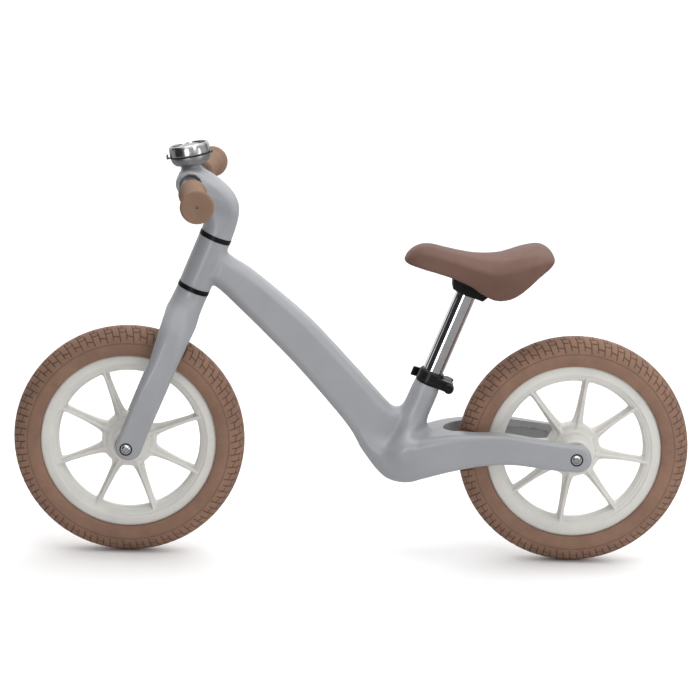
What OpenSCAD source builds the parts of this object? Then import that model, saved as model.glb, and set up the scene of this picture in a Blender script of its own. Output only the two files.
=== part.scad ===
// Child's balance bike with airless 12 inch wheels.
// Front towards -X, left side towards -Y, ground at Z = 0, X = 0 halfway between the axles.

/* [Wheels] */
// Outer diameter of a tyre
tyre_d = 290; // [288:1:292]
// Width of a tyre
tyre_w = 46; // [44:1:47]
// Distance between the two axles
wheelbase = 559; // [557:1:561]
// Number of spokes in a wheel
spoke_count = 8; // [6:1:9]
// Width of a spoke where it meets the rim
spoke_w = 8; // [6:0.5:9]
// Direction of one front spoke, up from straight back
front_spoke_angle = 20; // [0:1:44]
// Direction of one rear spoke, up from straight back
rear_spoke_angle = 37; // [0:1:44]

/* [Frame] */
// Lean of the steering axis from upright
head_tilt = 21.9; // [21.6:0.1:22.2]
// Lean of the seat tube from upright
seat_tilt = 21; // [20.5:0.1:21.5]
// Outer diameter of the head tube
head_d = 40; // [39:0.5:41]
// Width of the down tube
down_tube_w = 38; // [34:1:40]
// Width over the outside of the rear arms
arm_span = 116; // [114:1:118]
// Thickness of an arm and of a fork blade at the axle
dropout_t = 13.5; // [13:0.5:14]

/* [Steering] */
// Outer diameter of the handlebar tube
bar_d = 22.2; // [22:0.1:22.4]
// Width over the ends of the grips
bar_span = 380; // [376:1:384]
// Sweep of each side of the handlebar towards the rider
bar_sweep = 6; // [5:0.5:7]
// Length of a grip
grip_l = 105; // [100:1:110]
// Diameter of the bell
bell_d = 50; // [49:0.5:51]
// Forward lean of the bell from upright
bell_lean = 11; // [8:0.5:12]

/* [Seat] */
// Outer diameter of the seat post
post_d = 25.4; // [25.2:0.1:25.6]
// Length of the seat post
post_l = 190; // [186:1:191]
// Height of the clamp collar
collar_h = 16; // [15:0.5:17]
// Width of the saddle
saddle_w = 122; // [116:1:126]

/* [Hidden] */
$fn = 64;

// Colours of the finished surfaces
frame_grey = [0.58, 0.59, 0.61];
tyre_brown = [0.49, 0.38, 0.32];
rim_white = [0.83, 0.82, 0.79];
grip_brown = [0.50, 0.38, 0.32];
saddle_brown = [0.47, 0.35, 0.31];
plastic_black = [0.06, 0.06, 0.07];
steel_bright = [0.80, 0.80, 0.82];
steel_grey = [0.55, 0.55, 0.56];

// A hair of overlap inside one solid, and the gap between parts that move past each other
hair = 0.01;
moving_gap = 0.3;
running_fit = 0.05;
thread_gap = 0.1;

// Wheels
axle_z = tyre_d / 2;
front_x = -wheelbase / 2;
rear_x = wheelbase / 2;
tyre_section_r = tyre_w / 2;
tyre_ring_r = axle_z - tyre_section_r;
rim_edge_r = 108.8;
rim_edge_y = 15.5;
rim_bed_r = 102;
rim_bed_y = 12;
rim_face_r = 98;
rim_well_r = 88.6;
hub_barrel_r = 19;
hub_end_y = 38;
hub_web_r = 33;
spoke_root_w = 12;
hub_bearing_r = 13;
hub_bearing_w = 8;
axle_r = 5;
axle_bolt_r = 3;
bolt_head_r = 5.7;
bolt_head_h = 3;
bolt_ring_r = 8;
bolt_ring_depth = 2.4;
dropout_y = arm_span / 2;
dropout_inner_y = dropout_y - dropout_t;
spacer_r = 15;

// Steering axis stations, measured along the axis from the front axle
crown_top = 207;
cup_h = 5.2;
head_bottom = crown_top + moving_gap + cup_h;
head_top = 278;
stem_bottom = head_top + cup_h + moving_gap;
steerer_r = 12.7;
steerer_bottom = 176;
steerer_top = 320;
head_bearing_r = 15.5;
head_bearing_h = 7;
cup_spigot_r = 17;
cup_spigot_l = 8;

// Handlebar boss and bell, in the bike's own frame
bar_x = -205;
bar_z = 471.5;
boss_half_w = 25;
bar_bend_y = 32;
bar_overlap = 2;
bar_core_half = bar_bend_y + 1;
bar_core_r = bar_d / 2 + 0.3;
bar_wall = 1.6;
grip_end_t = 3.5;
bar_side_l = (bar_span / 2 - bar_bend_y) / cos(bar_sweep) - grip_end_t;
vent_r = 0.9;
bell_x = -205;
bell_z = 494.6;
bell_base_h = 11;
bell_plate_h = 1.2;
bell_dome_h = 13;

// Seat tube: the collar's lower edge on the tube's axis, and stations along it
seat_x = 93.8;
seat_z = 225.3;
seat_tube_r = 16.4;
seat_neck_r = 14.4;
collar_r = 16.2;
post_top = 140;
seat_bore_depth = 112;
ear_u = 25;
ear_w = 6.5;
lever_pivot_y = 21;
lever_h = 12;
bracket_bottom = 124;

// Points of a round stretch, from angle a0 to a1 about (x, y)
function arc(x, y, r, a0, a1, n = 12) =
    [for (i = [0:n]) [x + r * cos(a0 + (a1 - a0) * i / n), y + r * sin(a0 + (a1 - a0) * i / n)]];

// Smooth open curve through a few points, ends included
function spline_at(p, i, t) =
    let (a = p[max(i - 1, 0)], b = p[i], c = p[i + 1], d = p[min(i + 2, len(p) - 1)])
    0.5 * (2 * b + (c - a) * t + (2 * a - 5 * b + 4 * c - d) * t * t
        + (3 * b - a - 3 * c + d) * t * t * t);
function smooth(p, n = 4) =
    concat([for (i = [0:len(p) - 2], k = [0:n - 1]) spline_at(p, i, k / n)], [p[len(p) - 1]]);
function mirrored(p) = concat(p, [for (i = [len(p) - 1:-1:0]) [-p[i][0], p[i][1]]]);
function flipped(p) = concat(p, [for (i = [len(p) - 1:-1:0]) [p[i][0], -p[i][1]]]);

module on_steering_axis() {
    translate([front_x, 0, axle_z]) rotate([0, head_tilt, 0]) children();
}

module on_seat_axis() {
    translate([seat_x, 0, seat_z]) rotate([0, seat_tilt, 0]) children();
}

module on_bell_axis() {
    translate([bell_x, 0, bell_z]) rotate([0, -bell_lean, 0]) children();
}

// A side view outline (x, z) as a slab across the bike
module slab(points, half_w) {
    rotate([90, 0, 0]) linear_extrude(height = 2 * half_w, center = true) polygon(points);
}

// A front view outline (y, z) as a slab along the bike
module front_slab(points, half_l) {
    rotate([90, 0, 90]) linear_extrude(height = 2 * half_l, center = true) polygon(points);
}

// A round bar across the bike from y0 to y1
module cross_bar(r, y0, y1) {
    translate([0, y0, 0]) rotate([-90, 0, 0]) cylinder(r = r, h = y1 - y0);
}

module cross_tube(r_out, r_in, y0, y1) {
    difference() {
        cross_bar(r_out, y0, y1);
        cross_bar(r_in, y0 - 1, y1 + 1);
    }
}

module both_sides() {
    children();
    mirror([0, 1, 0]) children();
}

// ---------- frame ----------

// Down tube, belly and foot of the seat tube, seen from the left
spine_outline = concat(
    [[-172, 394]],
    smooth([[-160, 385], [-151, 376], [-128, 358.5], [-68, 308.5], [-32, 273.5], [3, 238.5],
        [39, 201.5], [54, 192.5], [67, 198], [81, 224]]),
    smooth([[105, 216], [98, 190], [104, 174], [116, 164]]),
    smooth([[116, 121], [92, 114.5], [74, 108], [59, 107], [47, 112], [33, 124], [9, 153.5],
        [-15, 183.5], [-69, 244.5], [-114, 289.5], [-146, 319.5], [-165, 337], [-176, 345]]),
    [[-186, 352]]);

// Rear arms and their bulge forward around the belly, seen from the left
arm_outline = concat(
    smooth([[30, 128], [42, 139], [62, 151], [84, 160], [102, 165], [122, 169.5], [158, 172.3],
        [190, 172.8], [238, 166.8], [264, 163.4]]),
    arc(rear_x + 2, axle_z, 17, 85, -85, 10),
    smooth([[262, 129], [240, 131.5], [206, 135.5], [184, 135], [158, 131.5], [124, 124.5],
        [92, 114.5], [74, 108], [59, 107], [47, 112], [34, 122]]));

// Half of the rear arms' plan, as (x, y)
arm_plan = smooth([[20, 17], [42, 25], [58, 35], [75, 42.5], [95, 47.5], [122, 51.5],
    [160, 55.5], [200, dropout_y], [310, dropout_y]]);

// Half of the wheel slot between the arms, as (x, y)
slot_front_x = 115;
slot_front_r = 28;
slot_plan = concat(
    arc(slot_front_x + slot_front_r, 0, slot_front_r, 180, 110, 8),
    smooth([[146, 32], [162, 36], [200, 38.5], [230, 42], [252, dropout_inner_y],
        [320, dropout_inner_y]]));

// Shallow pocket in the inner face of each arm
pocket_outline = concat(
    smooth([[148, 138], [146, 150], [150, 162], [185, 163.5], [225, 159], [246, 156]]),
    smooth([[252, 147], [246, 139], [206, 142.5], [184, 142], [148, 138]]));

// Hollow of the down tube, open to the seat tube's bore
hollow_half_w = down_tube_w / 2 - 5;
hollow_outline = [[-152, 345], [-133, 350.5], [-73, 302.5], [-37, 267.5], [-2, 232.5], [34, 195.5],
    [57, 181], [68, 181], [58, 150], [48, 128], [40, 131], [15, 159], [-9, 189], [-63, 250.5],
    [-108, 295.5], [-140, 325.5]];

module dropout_hole() {
    cross_bar(axle_bolt_r + thread_gap, -dropout_y - 5, dropout_y + 5);
    both_sides() cross_bar(bolt_ring_r, dropout_y - bolt_ring_depth, dropout_y + 5);
}

module main_frame() {
    color(frame_grey)
    difference() {
        union() {
            on_steering_axis() translate([0, 0, head_bottom])
                cylinder(r = head_d / 2, h = head_top - head_bottom);
            slab(spine_outline, down_tube_w / 2);
            intersection() {
                slab(arm_outline, dropout_y);
                linear_extrude(height = 300) polygon(flipped(arm_plan));
            }
            on_seat_axis() translate([0, 0, -70]) cylinder(r = seat_tube_r, h = 70);
            on_seat_axis() translate([0, 0, -1]) cylinder(r = seat_neck_r, h = collar_h - 1);
        }
        // wheel slot and arm pockets
        linear_extrude(height = 300) polygon(flipped(slot_plan));
        both_sides() translate([0, 38, 0]) slab(pocket_outline, 8.5);
        slab(hollow_outline, hollow_half_w);
        translate([rear_x, 0, axle_z]) dropout_hole();
        // steerer bore and the seats of the two headset cups
        on_steering_axis() {
            translate([0, 0, head_bottom - 30]) cylinder(r = steerer_r + 2, h = 160);
            translate([0, 0, head_bottom - 1]) cylinder(r = cup_spigot_r, h = cup_spigot_l + 1);
            translate([0, 0, head_top - cup_spigot_l]) cylinder(r = cup_spigot_r, h = 30);
            translate([0, 0, head_bottom - 40]) cylinder(r = 60, h = 40);
            translate([0, 0, head_top]) cylinder(r = 60, h = 40);
        }
        // seat tube bore and its slit
        on_seat_axis() {
            translate([0, 0, -seat_bore_depth]) cylinder(r = post_d / 2 + running_fit, h = 200);
            translate([0, -1.5, -22]) cube([30, 3, 80]);
        }
    }
}

module headset_cup() {
    difference() {
        union() {
            cylinder(r = head_d / 2 + 0.3, h = cup_h);
            translate([0, 0, -cup_spigot_l]) cylinder(r = cup_spigot_r, h = cup_spigot_l + 1);
        }
        translate([0, 0, -head_bearing_h]) cylinder(r = head_bearing_r, h = 30);
        translate([0, 0, -cup_spigot_l - 1]) cylinder(r = steerer_r + 0.8, h = 30);
    }
}

// Deep-groove bearing, lying on the plane Z = 0
module bearing(r_out, r_in, h) {
    groove = 0.6;
    ring = 0.3 * (r_out - r_in);
    rotate_extrude() polygon([[r_in, 0], [r_in + ring, 0], [r_in + ring, groove],
        [r_out - ring, groove], [r_out - ring, 0], [r_out, 0], [r_out, h], [r_out - ring, h],
        [r_out - ring, h - groove], [r_in + ring, h - groove], [r_in + ring, h], [r_in, h]]);
}

module upper_headset_cup() {
    color(plastic_black) on_steering_axis() translate([0, 0, head_top]) headset_cup();
}

module lower_headset_cup() {
    color(plastic_black) on_steering_axis() translate([0, 0, head_bottom]) mirror([0, 0, 1])
        headset_cup();
}

module upper_headset_bearing() {
    color(steel_bright) on_steering_axis() translate([0, 0, head_top - head_bearing_h])
        bearing(head_bearing_r, steerer_r + running_fit, head_bearing_h);
}

module lower_headset_bearing() {
    color(steel_bright) on_steering_axis() translate([0, 0, head_bottom])
        bearing(head_bearing_r, steerer_r + running_fit, head_bearing_h);
}

module seat_clamp_collar() {
    ear_h = 13;
    color(plastic_black) on_seat_axis() difference() {
        union() {
            translate([0, 0, hair]) cylinder(r = collar_r, h = collar_h);
            translate([0, 0, collar_h - 1]) cylinder(r = collar_r - 1, h = 2.4);
            translate([10, -14, 0]) cube([ear_u - 10, 28, ear_h]);
            translate([ear_u, 0, ear_w]) cross_bar(ear_h / 2, -14, 14);
        }
        translate([0, 0, -1]) cylinder(r = seat_neck_r, h = collar_h - 1);
        translate([0, 0, -2]) cylinder(r = post_d / 2 + moving_gap, h = 40);
        translate([0, -1.5, -1]) cube([60, 3, 40]);
        translate([ear_u, 0, ear_w]) cross_bar(2.6, -40, 40);
    }
}

module clamp_skewer() {
    color(steel_grey) on_seat_axis() translate([ear_u, 0, ear_w]) difference() {
        union() {
            cross_bar(2.5, -22, lever_pivot_y);
            translate([0, lever_pivot_y, 0]) cylinder(r = 4.2, h = 6, center = true);
        }
        translate([0, lever_pivot_y, 0]) cylinder(r = 2.2, h = 20, center = true);
    }
}

module clamp_nut() {
    rib_count = 12;
    color(plastic_black) on_seat_axis() translate([ear_u, 0, ear_w]) difference() {
        union() {
            cross_bar(5.8, -22.5, -14.4);
            cross_bar(6.8, -15.4, -14);
            for (i = [0:rib_count - 1])
                rotate([0, i * 360 / rib_count, 0]) translate([5.7, 0, 0]) cross_bar(0.7, -22, -15);
        }
        cross_bar(2.5, -24, 0);
    }
}

module clamp_pin() {
    color(steel_grey) on_seat_axis() translate([ear_u, lever_pivot_y, ear_w])
        cylinder(r = 2.2, h = lever_h, center = true);
}

// Cam and curved handle, closed along the right side of the collar
module clamp_lever() {
    handle = concat(
        smooth([[ear_u + 6.4, 22], [ear_u, 27.5], [10, 27.5], [-8, 25.5], [-19, 21], [-23, 17]]),
        smooth([[-20.5, 14.5], [-16, 17.5], [-7, 21], [8, 22.8], [ear_u - 6, 23]]));
    slot_h = 6 + 2 * moving_gap;
    color(plastic_black) on_seat_axis() difference() {
        union() {
            translate([ear_u, lever_pivot_y, ear_w - lever_h / 2]) cylinder(r = 6.4, h = lever_h);
            translate([0, 0, -1.5]) linear_extrude(height = lever_h) polygon(handle);
        }
        translate([ear_u, lever_pivot_y, -1]) cylinder(r = 2.2 + running_fit, h = 30);
        translate([ear_u, lever_pivot_y, ear_w - slot_h / 2]) linear_extrude(height = slot_h)
            union() {
                circle(r = 4.2 + moving_gap);
                for (a = [0:15:165]) rotate(a) translate([-2.8, -20]) square([5.6, 20]);
            }
    }
}

// ---------- axles ----------

module axle() {
    difference() {
        cross_bar(axle_r, -dropout_inner_y, dropout_inner_y);
        both_sides() cross_bar(axle_bolt_r, dropout_inner_y - 22, dropout_inner_y + 1);
    }
}

// Button head screws with a six-sided socket, one on each side
module axle_bolts() {
    seat_y = dropout_y - bolt_ring_depth + 0.8;
    both_sides() translate([0, seat_y, 0]) rotate([-90, 0, 0]) difference() {
        rotate_extrude() polygon(concat(
            [[0, dropout_inner_y - 18 - seat_y], [axle_bolt_r, dropout_inner_y - 18 - seat_y],
                [axle_bolt_r, 0], [bolt_head_r, 0]],
            smooth([[bolt_head_r, 0.9], [4.9, 2], [3.4, bolt_head_h]]),
            [[0, bolt_head_h]]));
        translate([0, 0, bolt_head_h - 1.8]) cylinder(r = 2.3, h = 5, $fn = 6);
    }
}

module bolt_rings() {
    y0 = dropout_y - bolt_ring_depth;
    both_sides() difference() {
        cross_bar(bolt_ring_r, y0, dropout_y + 0.2);
        cross_bar(bolt_head_r + 0.6, y0 + 0.8, dropout_y + 5);
        cross_bar(axle_bolt_r + thread_gap, y0 - 1, dropout_y + 5);
    }
}

module hub_spacers() {
    both_sides() difference() {
        union() {
            cross_bar(10, hub_end_y + moving_gap, dropout_inner_y);
            cross_bar(spacer_r, dropout_inner_y - 3, dropout_inner_y);
        }
        cross_bar(axle_r, 0, 100);
    }
}

module at_front_axle() {
    translate([front_x, 0, axle_z]) children();
}

module at_rear_axle() {
    translate([rear_x, 0, axle_z]) children();
}

module rear_axle() { color(steel_grey) at_rear_axle() axle(); }
module rear_axle_bolts() { color(steel_bright) at_rear_axle() axle_bolts(); }
module rear_bolt_rings() { color(plastic_black) at_rear_axle() bolt_rings(); }
module rear_hub_spacers() { color(plastic_black) at_rear_axle() hub_spacers(); }
module front_axle() { color(steel_grey) at_front_axle() axle(); }
module front_axle_bolts() { color(steel_bright) at_front_axle() axle_bolts(); }
module front_bolt_rings() { color(plastic_black) at_front_axle() bolt_rings(); }
module front_hub_spacers() { color(plastic_black) at_front_axle() hub_spacers(); }

// ---------- steering ----------

// Right half of the fork seen from the front, as (y, station on the steering axis)
fork_front_outline = concat(
    [[20, crown_top]],
    smooth([[20.5, 200], [25, 188], [36, 174], [47, 156], [54, 128], [57, 90], [dropout_y, 45],
        [dropout_y, -20]]),
    smooth([[dropout_inner_y, -20], [dropout_inner_y, 50], [41, 95], [34, 125], [30, 142],
        [22, 153], [10, 158.5], [0, 160]]));

// Fork blade and crown seen from the left, as (across the axis, station)
blade_u = 2;
blade_outline = concat(
    smooth([[-19, crown_top], [-18, 190], [-17, 150], [-15, 95], [-15, 30], [-14.6, 6]]),
    arc(blade_u, 2, 16.4, 175, 365, 14),
    smooth([[18.2, 6], [17.5, 30], [18.5, 95], [19.5, 150], [20, 190], [19, crown_top]]));
crown_outline = smooth([[-19.5, crown_top], [-20.5, 180], [-21.5, 166], [-19.5, 150], [0, 147],
    [21, 149], [23, 165], [21, 186], [19.5, crown_top]]);

module fork() {
    color(frame_grey) on_steering_axis() difference() {
        intersection() {
            front_slab(mirrored(fork_front_outline), 40);
            union() {
                slab(blade_outline, 70);
                slab(crown_outline, 30);
            }
        }
        dropout_hole();
        translate([0, 0, steerer_bottom]) cylinder(r = steerer_r, h = 60);
        translate([0, 0, 120]) cylinder(r = 3.2, h = 80);
        translate([0, 0, 120]) cylinder(r = 7, h = 46);
    }
}

module steerer_tube() {
    color(steel_grey) on_steering_axis() translate([0, 0, steerer_bottom]) difference() {
        cylinder(r = steerer_r, h = steerer_top - steerer_bottom);
        translate([0, 0, -1]) cylinder(r = steerer_r - 2, h = 200);
    }
}

// Long screw from under the crown that pulls the stem down
module draw_bolt() {
    color(steel_bright) on_steering_axis() difference() {
        union() {
            translate([0, 0, 162]) cylinder(r = 5.5, h = 4);
            translate([0, 0, 165]) cylinder(r = 3, h = 167);
        }
        translate([0, 0, 160]) cylinder(r = 2.6, h = 5, $fn = 6);
    }
}

// Gooseneck seen from the left, as (across the axis, station)
stem_outline = concat(
    smooth([[19.6, stem_bottom], [18.4, 300], [15.5, 316], [9, 328], [-2, 338], [-17, 345.5],
        [-34, 350.5], [-48, 352]]),
    smooth([[-64, 350], [-70.5, 340], [-70.8, 329], [-66, 319], [-56, 312.6], [-44, 312.5],
        [-32, 310], [-23.5, 302], [-20, 290], [-19.6, stem_bottom]]));

// Right half of the gooseneck seen from the front, as (y, station)
stem_front_outline = concat(
    smooth([[19.6, stem_bottom], [19.2, 300], [21, 312], [24.5, 322], [boss_half_w, 332],
        [22, 342], [14, 350], [9, 360]]),
    [[0, 360]],
    [[0, stem_bottom]]);

module stem() {
    color(frame_grey) difference() {
        union() {
            on_steering_axis() intersection() {
                slab(stem_outline, 40);
                front_slab(mirrored(stem_front_outline), 100);
            }
            on_bell_axis() translate([0, 0, -10]) cylinder(r = 12.2, h = 10);
        }
        translate([bar_x, 0, bar_z]) cross_bar(bar_core_r, -60, 60);
        translate([bar_x, 0, bar_z]) both_sides() cross_bar(13.6, boss_half_w - 5, 60);
        on_steering_axis() translate([0, 0, stem_bottom - 1])
            cylinder(r = steerer_r, h = steerer_top - stem_bottom + 1);
        on_steering_axis() translate([0, 0, stem_bottom - 1]) cylinder(r = 3, h = 53);
        on_bell_axis() translate([0, 0, -9]) cylinder(r = 2.5, h = 20);
        translate([bar_x, 0, bar_z]) rotate([0, 150, 0]) cylinder(r = 2.5, h = 40);
    }
}

// The handlebar's right side beyond its bend
module bar_side(r, start) {
    translate([0, bar_bend_y, 0]) rotate([0, 0, -bar_sweep]) cross_bar(r, start, bar_side_l);
}

// A thicker straight middle for the boss, with a side swept back out of each end
module bar_rod(inset) {
    cross_bar(bar_core_r - inset, -bar_core_half, bar_core_half);
    both_sides() bar_side(bar_d / 2 - inset, -bar_overlap);
}

module handlebar() {
    color(steel_grey) translate([bar_x, 0, bar_z]) difference() {
        bar_rod(0);
        bar_rod(bar_wall);
    }
}

module bar_lock_screw() {
    color(steel_grey) translate([bar_x, 0, bar_z]) rotate([0, 150, 0]) difference() {
        translate([0, 0, bar_core_r + 0.4]) cylinder(r = 2.5, h = 7);
        translate([0, 0, bar_core_r + 5]) cylinder(r = 1.3, h = 5, $fn = 6);
    }
}

// Right grip: a ring at the inner end, a waisted body and a broad safety end
module grip() {
    end_y = bar_span / 2;
    along = (end_y - bar_bend_y) / cos(bar_sweep);
    start = along - grip_l;
    end_r = 20;
    profile = concat(
        [[0, along]],
        arc(end_r - 4, along - 4, 4, 90, -10, 6),
        smooth([[end_r - 0.6, along - 6], [18, along - 9], [15.4, along - 14],
            [14.8, along - 40], [14.8, start + 18], [15.2, start + 10]]),
        smooth([[17, start + 8], [17.4, start + 4.5], [16.6, start + 1.6], [14.4, start]]),
        [[0, start]]);
    difference() {
        translate([0, bar_bend_y, 0]) rotate([0, 0, -bar_sweep]) rotate([-90, 0, 0])
            rotate_extrude($fn = 96) polygon(profile);
        bar_side(bar_d / 2, 0);
        translate([0, bar_bend_y, 0]) rotate([0, 0, -bar_sweep])
            cross_bar(vent_r, along - 10, along + 1);
    }
}

module left_grip() {
    color(grip_brown) translate([bar_x, 0, bar_z]) mirror([0, 1, 0]) grip();
}

module right_grip() {
    color(grip_brown) translate([bar_x, 0, bar_z]) grip();
}

// ---------- bell ----------

bell_r = bell_d / 2;
plate_z = bell_base_h + moving_gap;
dome_z = plate_z + bell_plate_h + moving_gap;
bell_top = dome_z + bell_dome_h;
bell_well = 3.4;
bell_wall = 1.1;
striker_r = bell_r - 6.5;
striker_angle = 200;

module bell_base() {
    color(steel_grey) on_bell_axis() rotate_extrude($fn = 96) polygon(concat(
        [[2.6, 0], [12, 0]],
        smooth([[bell_r - 8.5, 0.5], [bell_r - 3.9, 2.4], [bell_r - 1.3, 6],
            [bell_r - 0.2, bell_base_h]]),
        smooth([[bell_r - 1.6, bell_base_h], [bell_r - 2.7, 6.6], [bell_r - 4.9, 4],
            [bell_r - 9, 2.3], [10, 2]]),
        [[2.6, 2]]));
}

// Stepped screw through the bell into the stem
module bell_post() {
    color(steel_bright) on_bell_axis() union() {
        translate([0, 0, -8]) cylinder(r = 2.5, h = 14);
        translate([0, 0, 2]) cylinder(r = 4, h = bell_top - 2 - bell_well - bell_wall);
        translate([0, 0, 5]) cylinder(r = 2.5, h = bell_top - bell_well - 5);
    }
}

// Thin plate with a bent-up thumb tab in front and a short tab behind
module bell_lever() {
    arm_half = 4;
    tab_half = 6;
    color(plastic_black) on_bell_axis() difference() {
        union() {
            translate([0, 0, plate_z]) cylinder(r = bell_r, h = bell_plate_h);
            translate([-bell_r - 4.2, -tab_half, plate_z]) cube([10, 2 * tab_half, bell_plate_h]);
            translate([-bell_r - 4.2, -tab_half, plate_z]) cube([1.5, 2 * tab_half, 5]);
            translate([bell_r - 4, -arm_half, plate_z]) cube([6, 2 * arm_half, bell_plate_h]);
            translate([bell_r + 1, -arm_half, plate_z - 0.8]) cube([1.6, 2 * arm_half, 3]);
        }
        translate([0, 0, plate_z - 5]) cylinder(r = 4 + running_fit, h = 20);
        rotate(striker_angle) translate([striker_r, 0, plate_z - 1]) cylinder(r = 1, h = 5);
        for (a = [45, 135, 225, 315])
            rotate(a) translate([13, 0, plate_z - 1]) cylinder(r = 5, h = 5);
    }
}

module bell_striker() {
    color(steel_bright) on_bell_axis() rotate(striker_angle)
        translate([striker_r, 0, plate_z - 3]) union() {
            cylinder(r = 2.4, h = 3);
            cylinder(r = 1, h = 3 + bell_plate_h);
        }
}

module bell_dome() {
    color(steel_bright) on_bell_axis() rotate_extrude($fn = 96) polygon(concat(
        [[bell_r - 0.2, dome_z]],
        smooth([[bell_r, dome_z + 2], [bell_r, dome_z + 6], [bell_r - 0.7, bell_top - 1.6]]),
        arc(bell_r - 2.2, bell_top - 1.5, 1.5, 20, 160, 8),
        [[bell_r - 3.5, bell_top - bell_well], [2.6, bell_top - bell_well],
            [2.6, bell_top - bell_well - bell_wall], [bell_r - 3.1, bell_top - bell_well - bell_wall],
            [bell_r - bell_wall - 0.4, dome_z + 4], [bell_r - bell_wall - 0.3, dome_z]]));
}

module bell_ring() {
    color(plastic_black) on_bell_axis() translate([0, 0, bell_top - bell_well]) difference() {
        cylinder(r = bell_r - 3.7, h = 1);
        translate([0, 0, -1]) cylinder(r = 13.2, h = 5);
    }
}

module bell_cap() {
    color(steel_grey) on_bell_axis() translate([0, 0, bell_top - bell_well])
        rotate_extrude($fn = 96) polygon(concat([[0, 0], [13, 0], [13, 1.4]],
            smooth([[12.4, 2.1], [8, 2.7], [0, 3]])));
}

// ---------- wheels ----------

// Airless tyre: a round section that grips over the rim's edges
module tyre() {
    rotate([-90, 0, 0]) difference() {
        rotate_extrude($fn = 128) translate([tyre_ring_r, 0]) circle(r = tyre_section_r);
        rotate_extrude($fn = 128) polygon([[60, -40], [rim_edge_r, -40],
            [rim_edge_r, -rim_bed_y], [rim_bed_r, -rim_bed_y], [rim_bed_r, rim_bed_y],
            [rim_edge_r, rim_bed_y], [rim_edge_r, 40], [60, 40]]);
    }
}

// Half of the rim's section from the middle outwards, as (radius, y)
rim_section = [[rim_bed_r, 0], [rim_bed_r, rim_bed_y], [rim_edge_r, rim_bed_y],
    [rim_edge_r, rim_edge_y], [rim_face_r, rim_edge_y + 1], [95.5, 15], [92, 12], [90, 8],
    [rim_well_r, 4], [rim_well_r, 0]];

module wheel_core(angle) {
    spoke_half_t = 4.5;
    spoke_end_r = rim_well_r + 4;
    difference() {
        union() {
            rotate([-90, 0, 0]) rotate_extrude($fn = 128) polygon(flipped(rim_section));
            cross_bar(hub_barrel_r, -hub_end_y, hub_end_y);
            cross_bar(hub_web_r, -9, 9);
            cross_bar(26, -20, 20);
            for (i = [0:spoke_count - 1])
                rotate([0, -angle - i * 360 / spoke_count, 0]) {
                    // blade of the spoke, flared at both ends, with a raised rib
                    slab(flipped(smooth([[20, 13], [hub_web_r, 8.5], [44, spoke_root_w / 2],
                        [64, 4.6], [82, spoke_w / 2], [spoke_end_r, 6]])), spoke_half_t);
                    slab([[16, -1.8], [16, 1.8], [spoke_end_r, 1.2], [spoke_end_r, -1.2]], 7);
                }
        }
        cross_bar(hub_bearing_r, -60, -hub_end_y + hub_bearing_w);
        cross_bar(hub_bearing_r, hub_end_y - hub_bearing_w, 60);
        cross_bar(axle_r + 3, -60, 60);
    }
}

module hub_bearings() {
    both_sides() translate([0, hub_end_y - hub_bearing_w, 0]) rotate([-90, 0, 0])
        bearing(hub_bearing_r, axle_r + running_fit, hub_bearing_w);
}

module front_tyre() { color(tyre_brown) at_front_axle() tyre(); }
module front_wheel_core() { color(rim_white) at_front_axle() wheel_core(front_spoke_angle); }
module front_hub_bearings() { color(steel_bright) at_front_axle() hub_bearings(); }
module rear_tyre() { color(tyre_brown) at_rear_axle() tyre(); }
module rear_wheel_core() { color(rim_white) at_rear_axle() wheel_core(rear_spoke_angle); }
module rear_hub_bearings() { color(steel_bright) at_rear_axle() hub_bearings(); }

// ---------- seat ----------

module seat_post() {
    color(steel_bright) on_seat_axis() translate([0, 0, post_top - post_l]) difference() {
        cylinder(r = post_d / 2, h = post_l);
        translate([0, 0, -1]) cylinder(r = post_d / 2 - 2, h = post_l + 2);
    }
}

// Saddle seen from the left, as (x, z)
saddle_top_line = smooth([[59, 382], [62, 388], [70, 395.3], [82, 399.2], [97, 398.8],
    [116, 394.7], [140, 390.5], [163, 389.7], [186, 392], [208, 396.5], [226, 398.5], [238, 396],
    [245, 390]]);
saddle_under_line = smooth([[240, 392], [222, 375], [205, 357], [190, 346], [177, 342.5],
    [163, 346], [145, 356], [122, 365], [98, 371.5], [76, 376], [63, 381]]);

// Half of the saddle's plan, as (x, y)
saddle_half_w = saddle_w / 2;
saddle_plan = smooth([[58.8, 0], [60, 12], [66, 20], [80, 25], [104, 28], [130, 33], [156, 43],
    [182, 55], [206, saddle_half_w], [226, 58], [240, 46], [246, 24], [247, 0]]);

// Hollow under the pad that the base plate sits in
pocket_scale = 0.86;
pocket_mid_x = 156;

module saddle_pocket_plan() {
    translate([pocket_mid_x, 0]) scale([pocket_scale, pocket_scale]) translate([-pocket_mid_x, 0])
        polygon(flipped(saddle_plan));
}

module saddle_pad() {
    color(saddle_brown) difference() {
        intersection() {
            slab(concat(saddle_top_line, saddle_under_line), 80);
            linear_extrude(height = 500) polygon(flipped(saddle_plan));
        }
        intersection() {
            slab([[20, 300], [20, 389], [95, 384], [160, 372], [215, 380], [232, 388],
                [260, 388], [260, 300]], 80);
            linear_extrude(height = 500) saddle_pocket_plan();
        }
    }
}

// Four screws down through the plate into the socket; the rear pair sits higher
module saddle_screws() {
    screw_l = 20;
    on_seat_axis() for (u = [-15, 15], y = [-14, 14])
        translate([u, y, 159 + 0.22 * u - screw_l]) cylinder(r = 2.2, h = screw_l);
}

// Plate under the pad
module saddle_base() {
    color(plastic_black) difference() {
        intersection() {
            slab([[20, 385], [95, 380], [160, 368], [215, 376], [232, 384], [260, 384],
                [260, 388], [232, 388], [215, 380], [160, 372], [95, 384], [20, 389]], 80);
            linear_extrude(height = 500) saddle_pocket_plan();
        }
        saddle_screws();
    }
}

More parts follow.
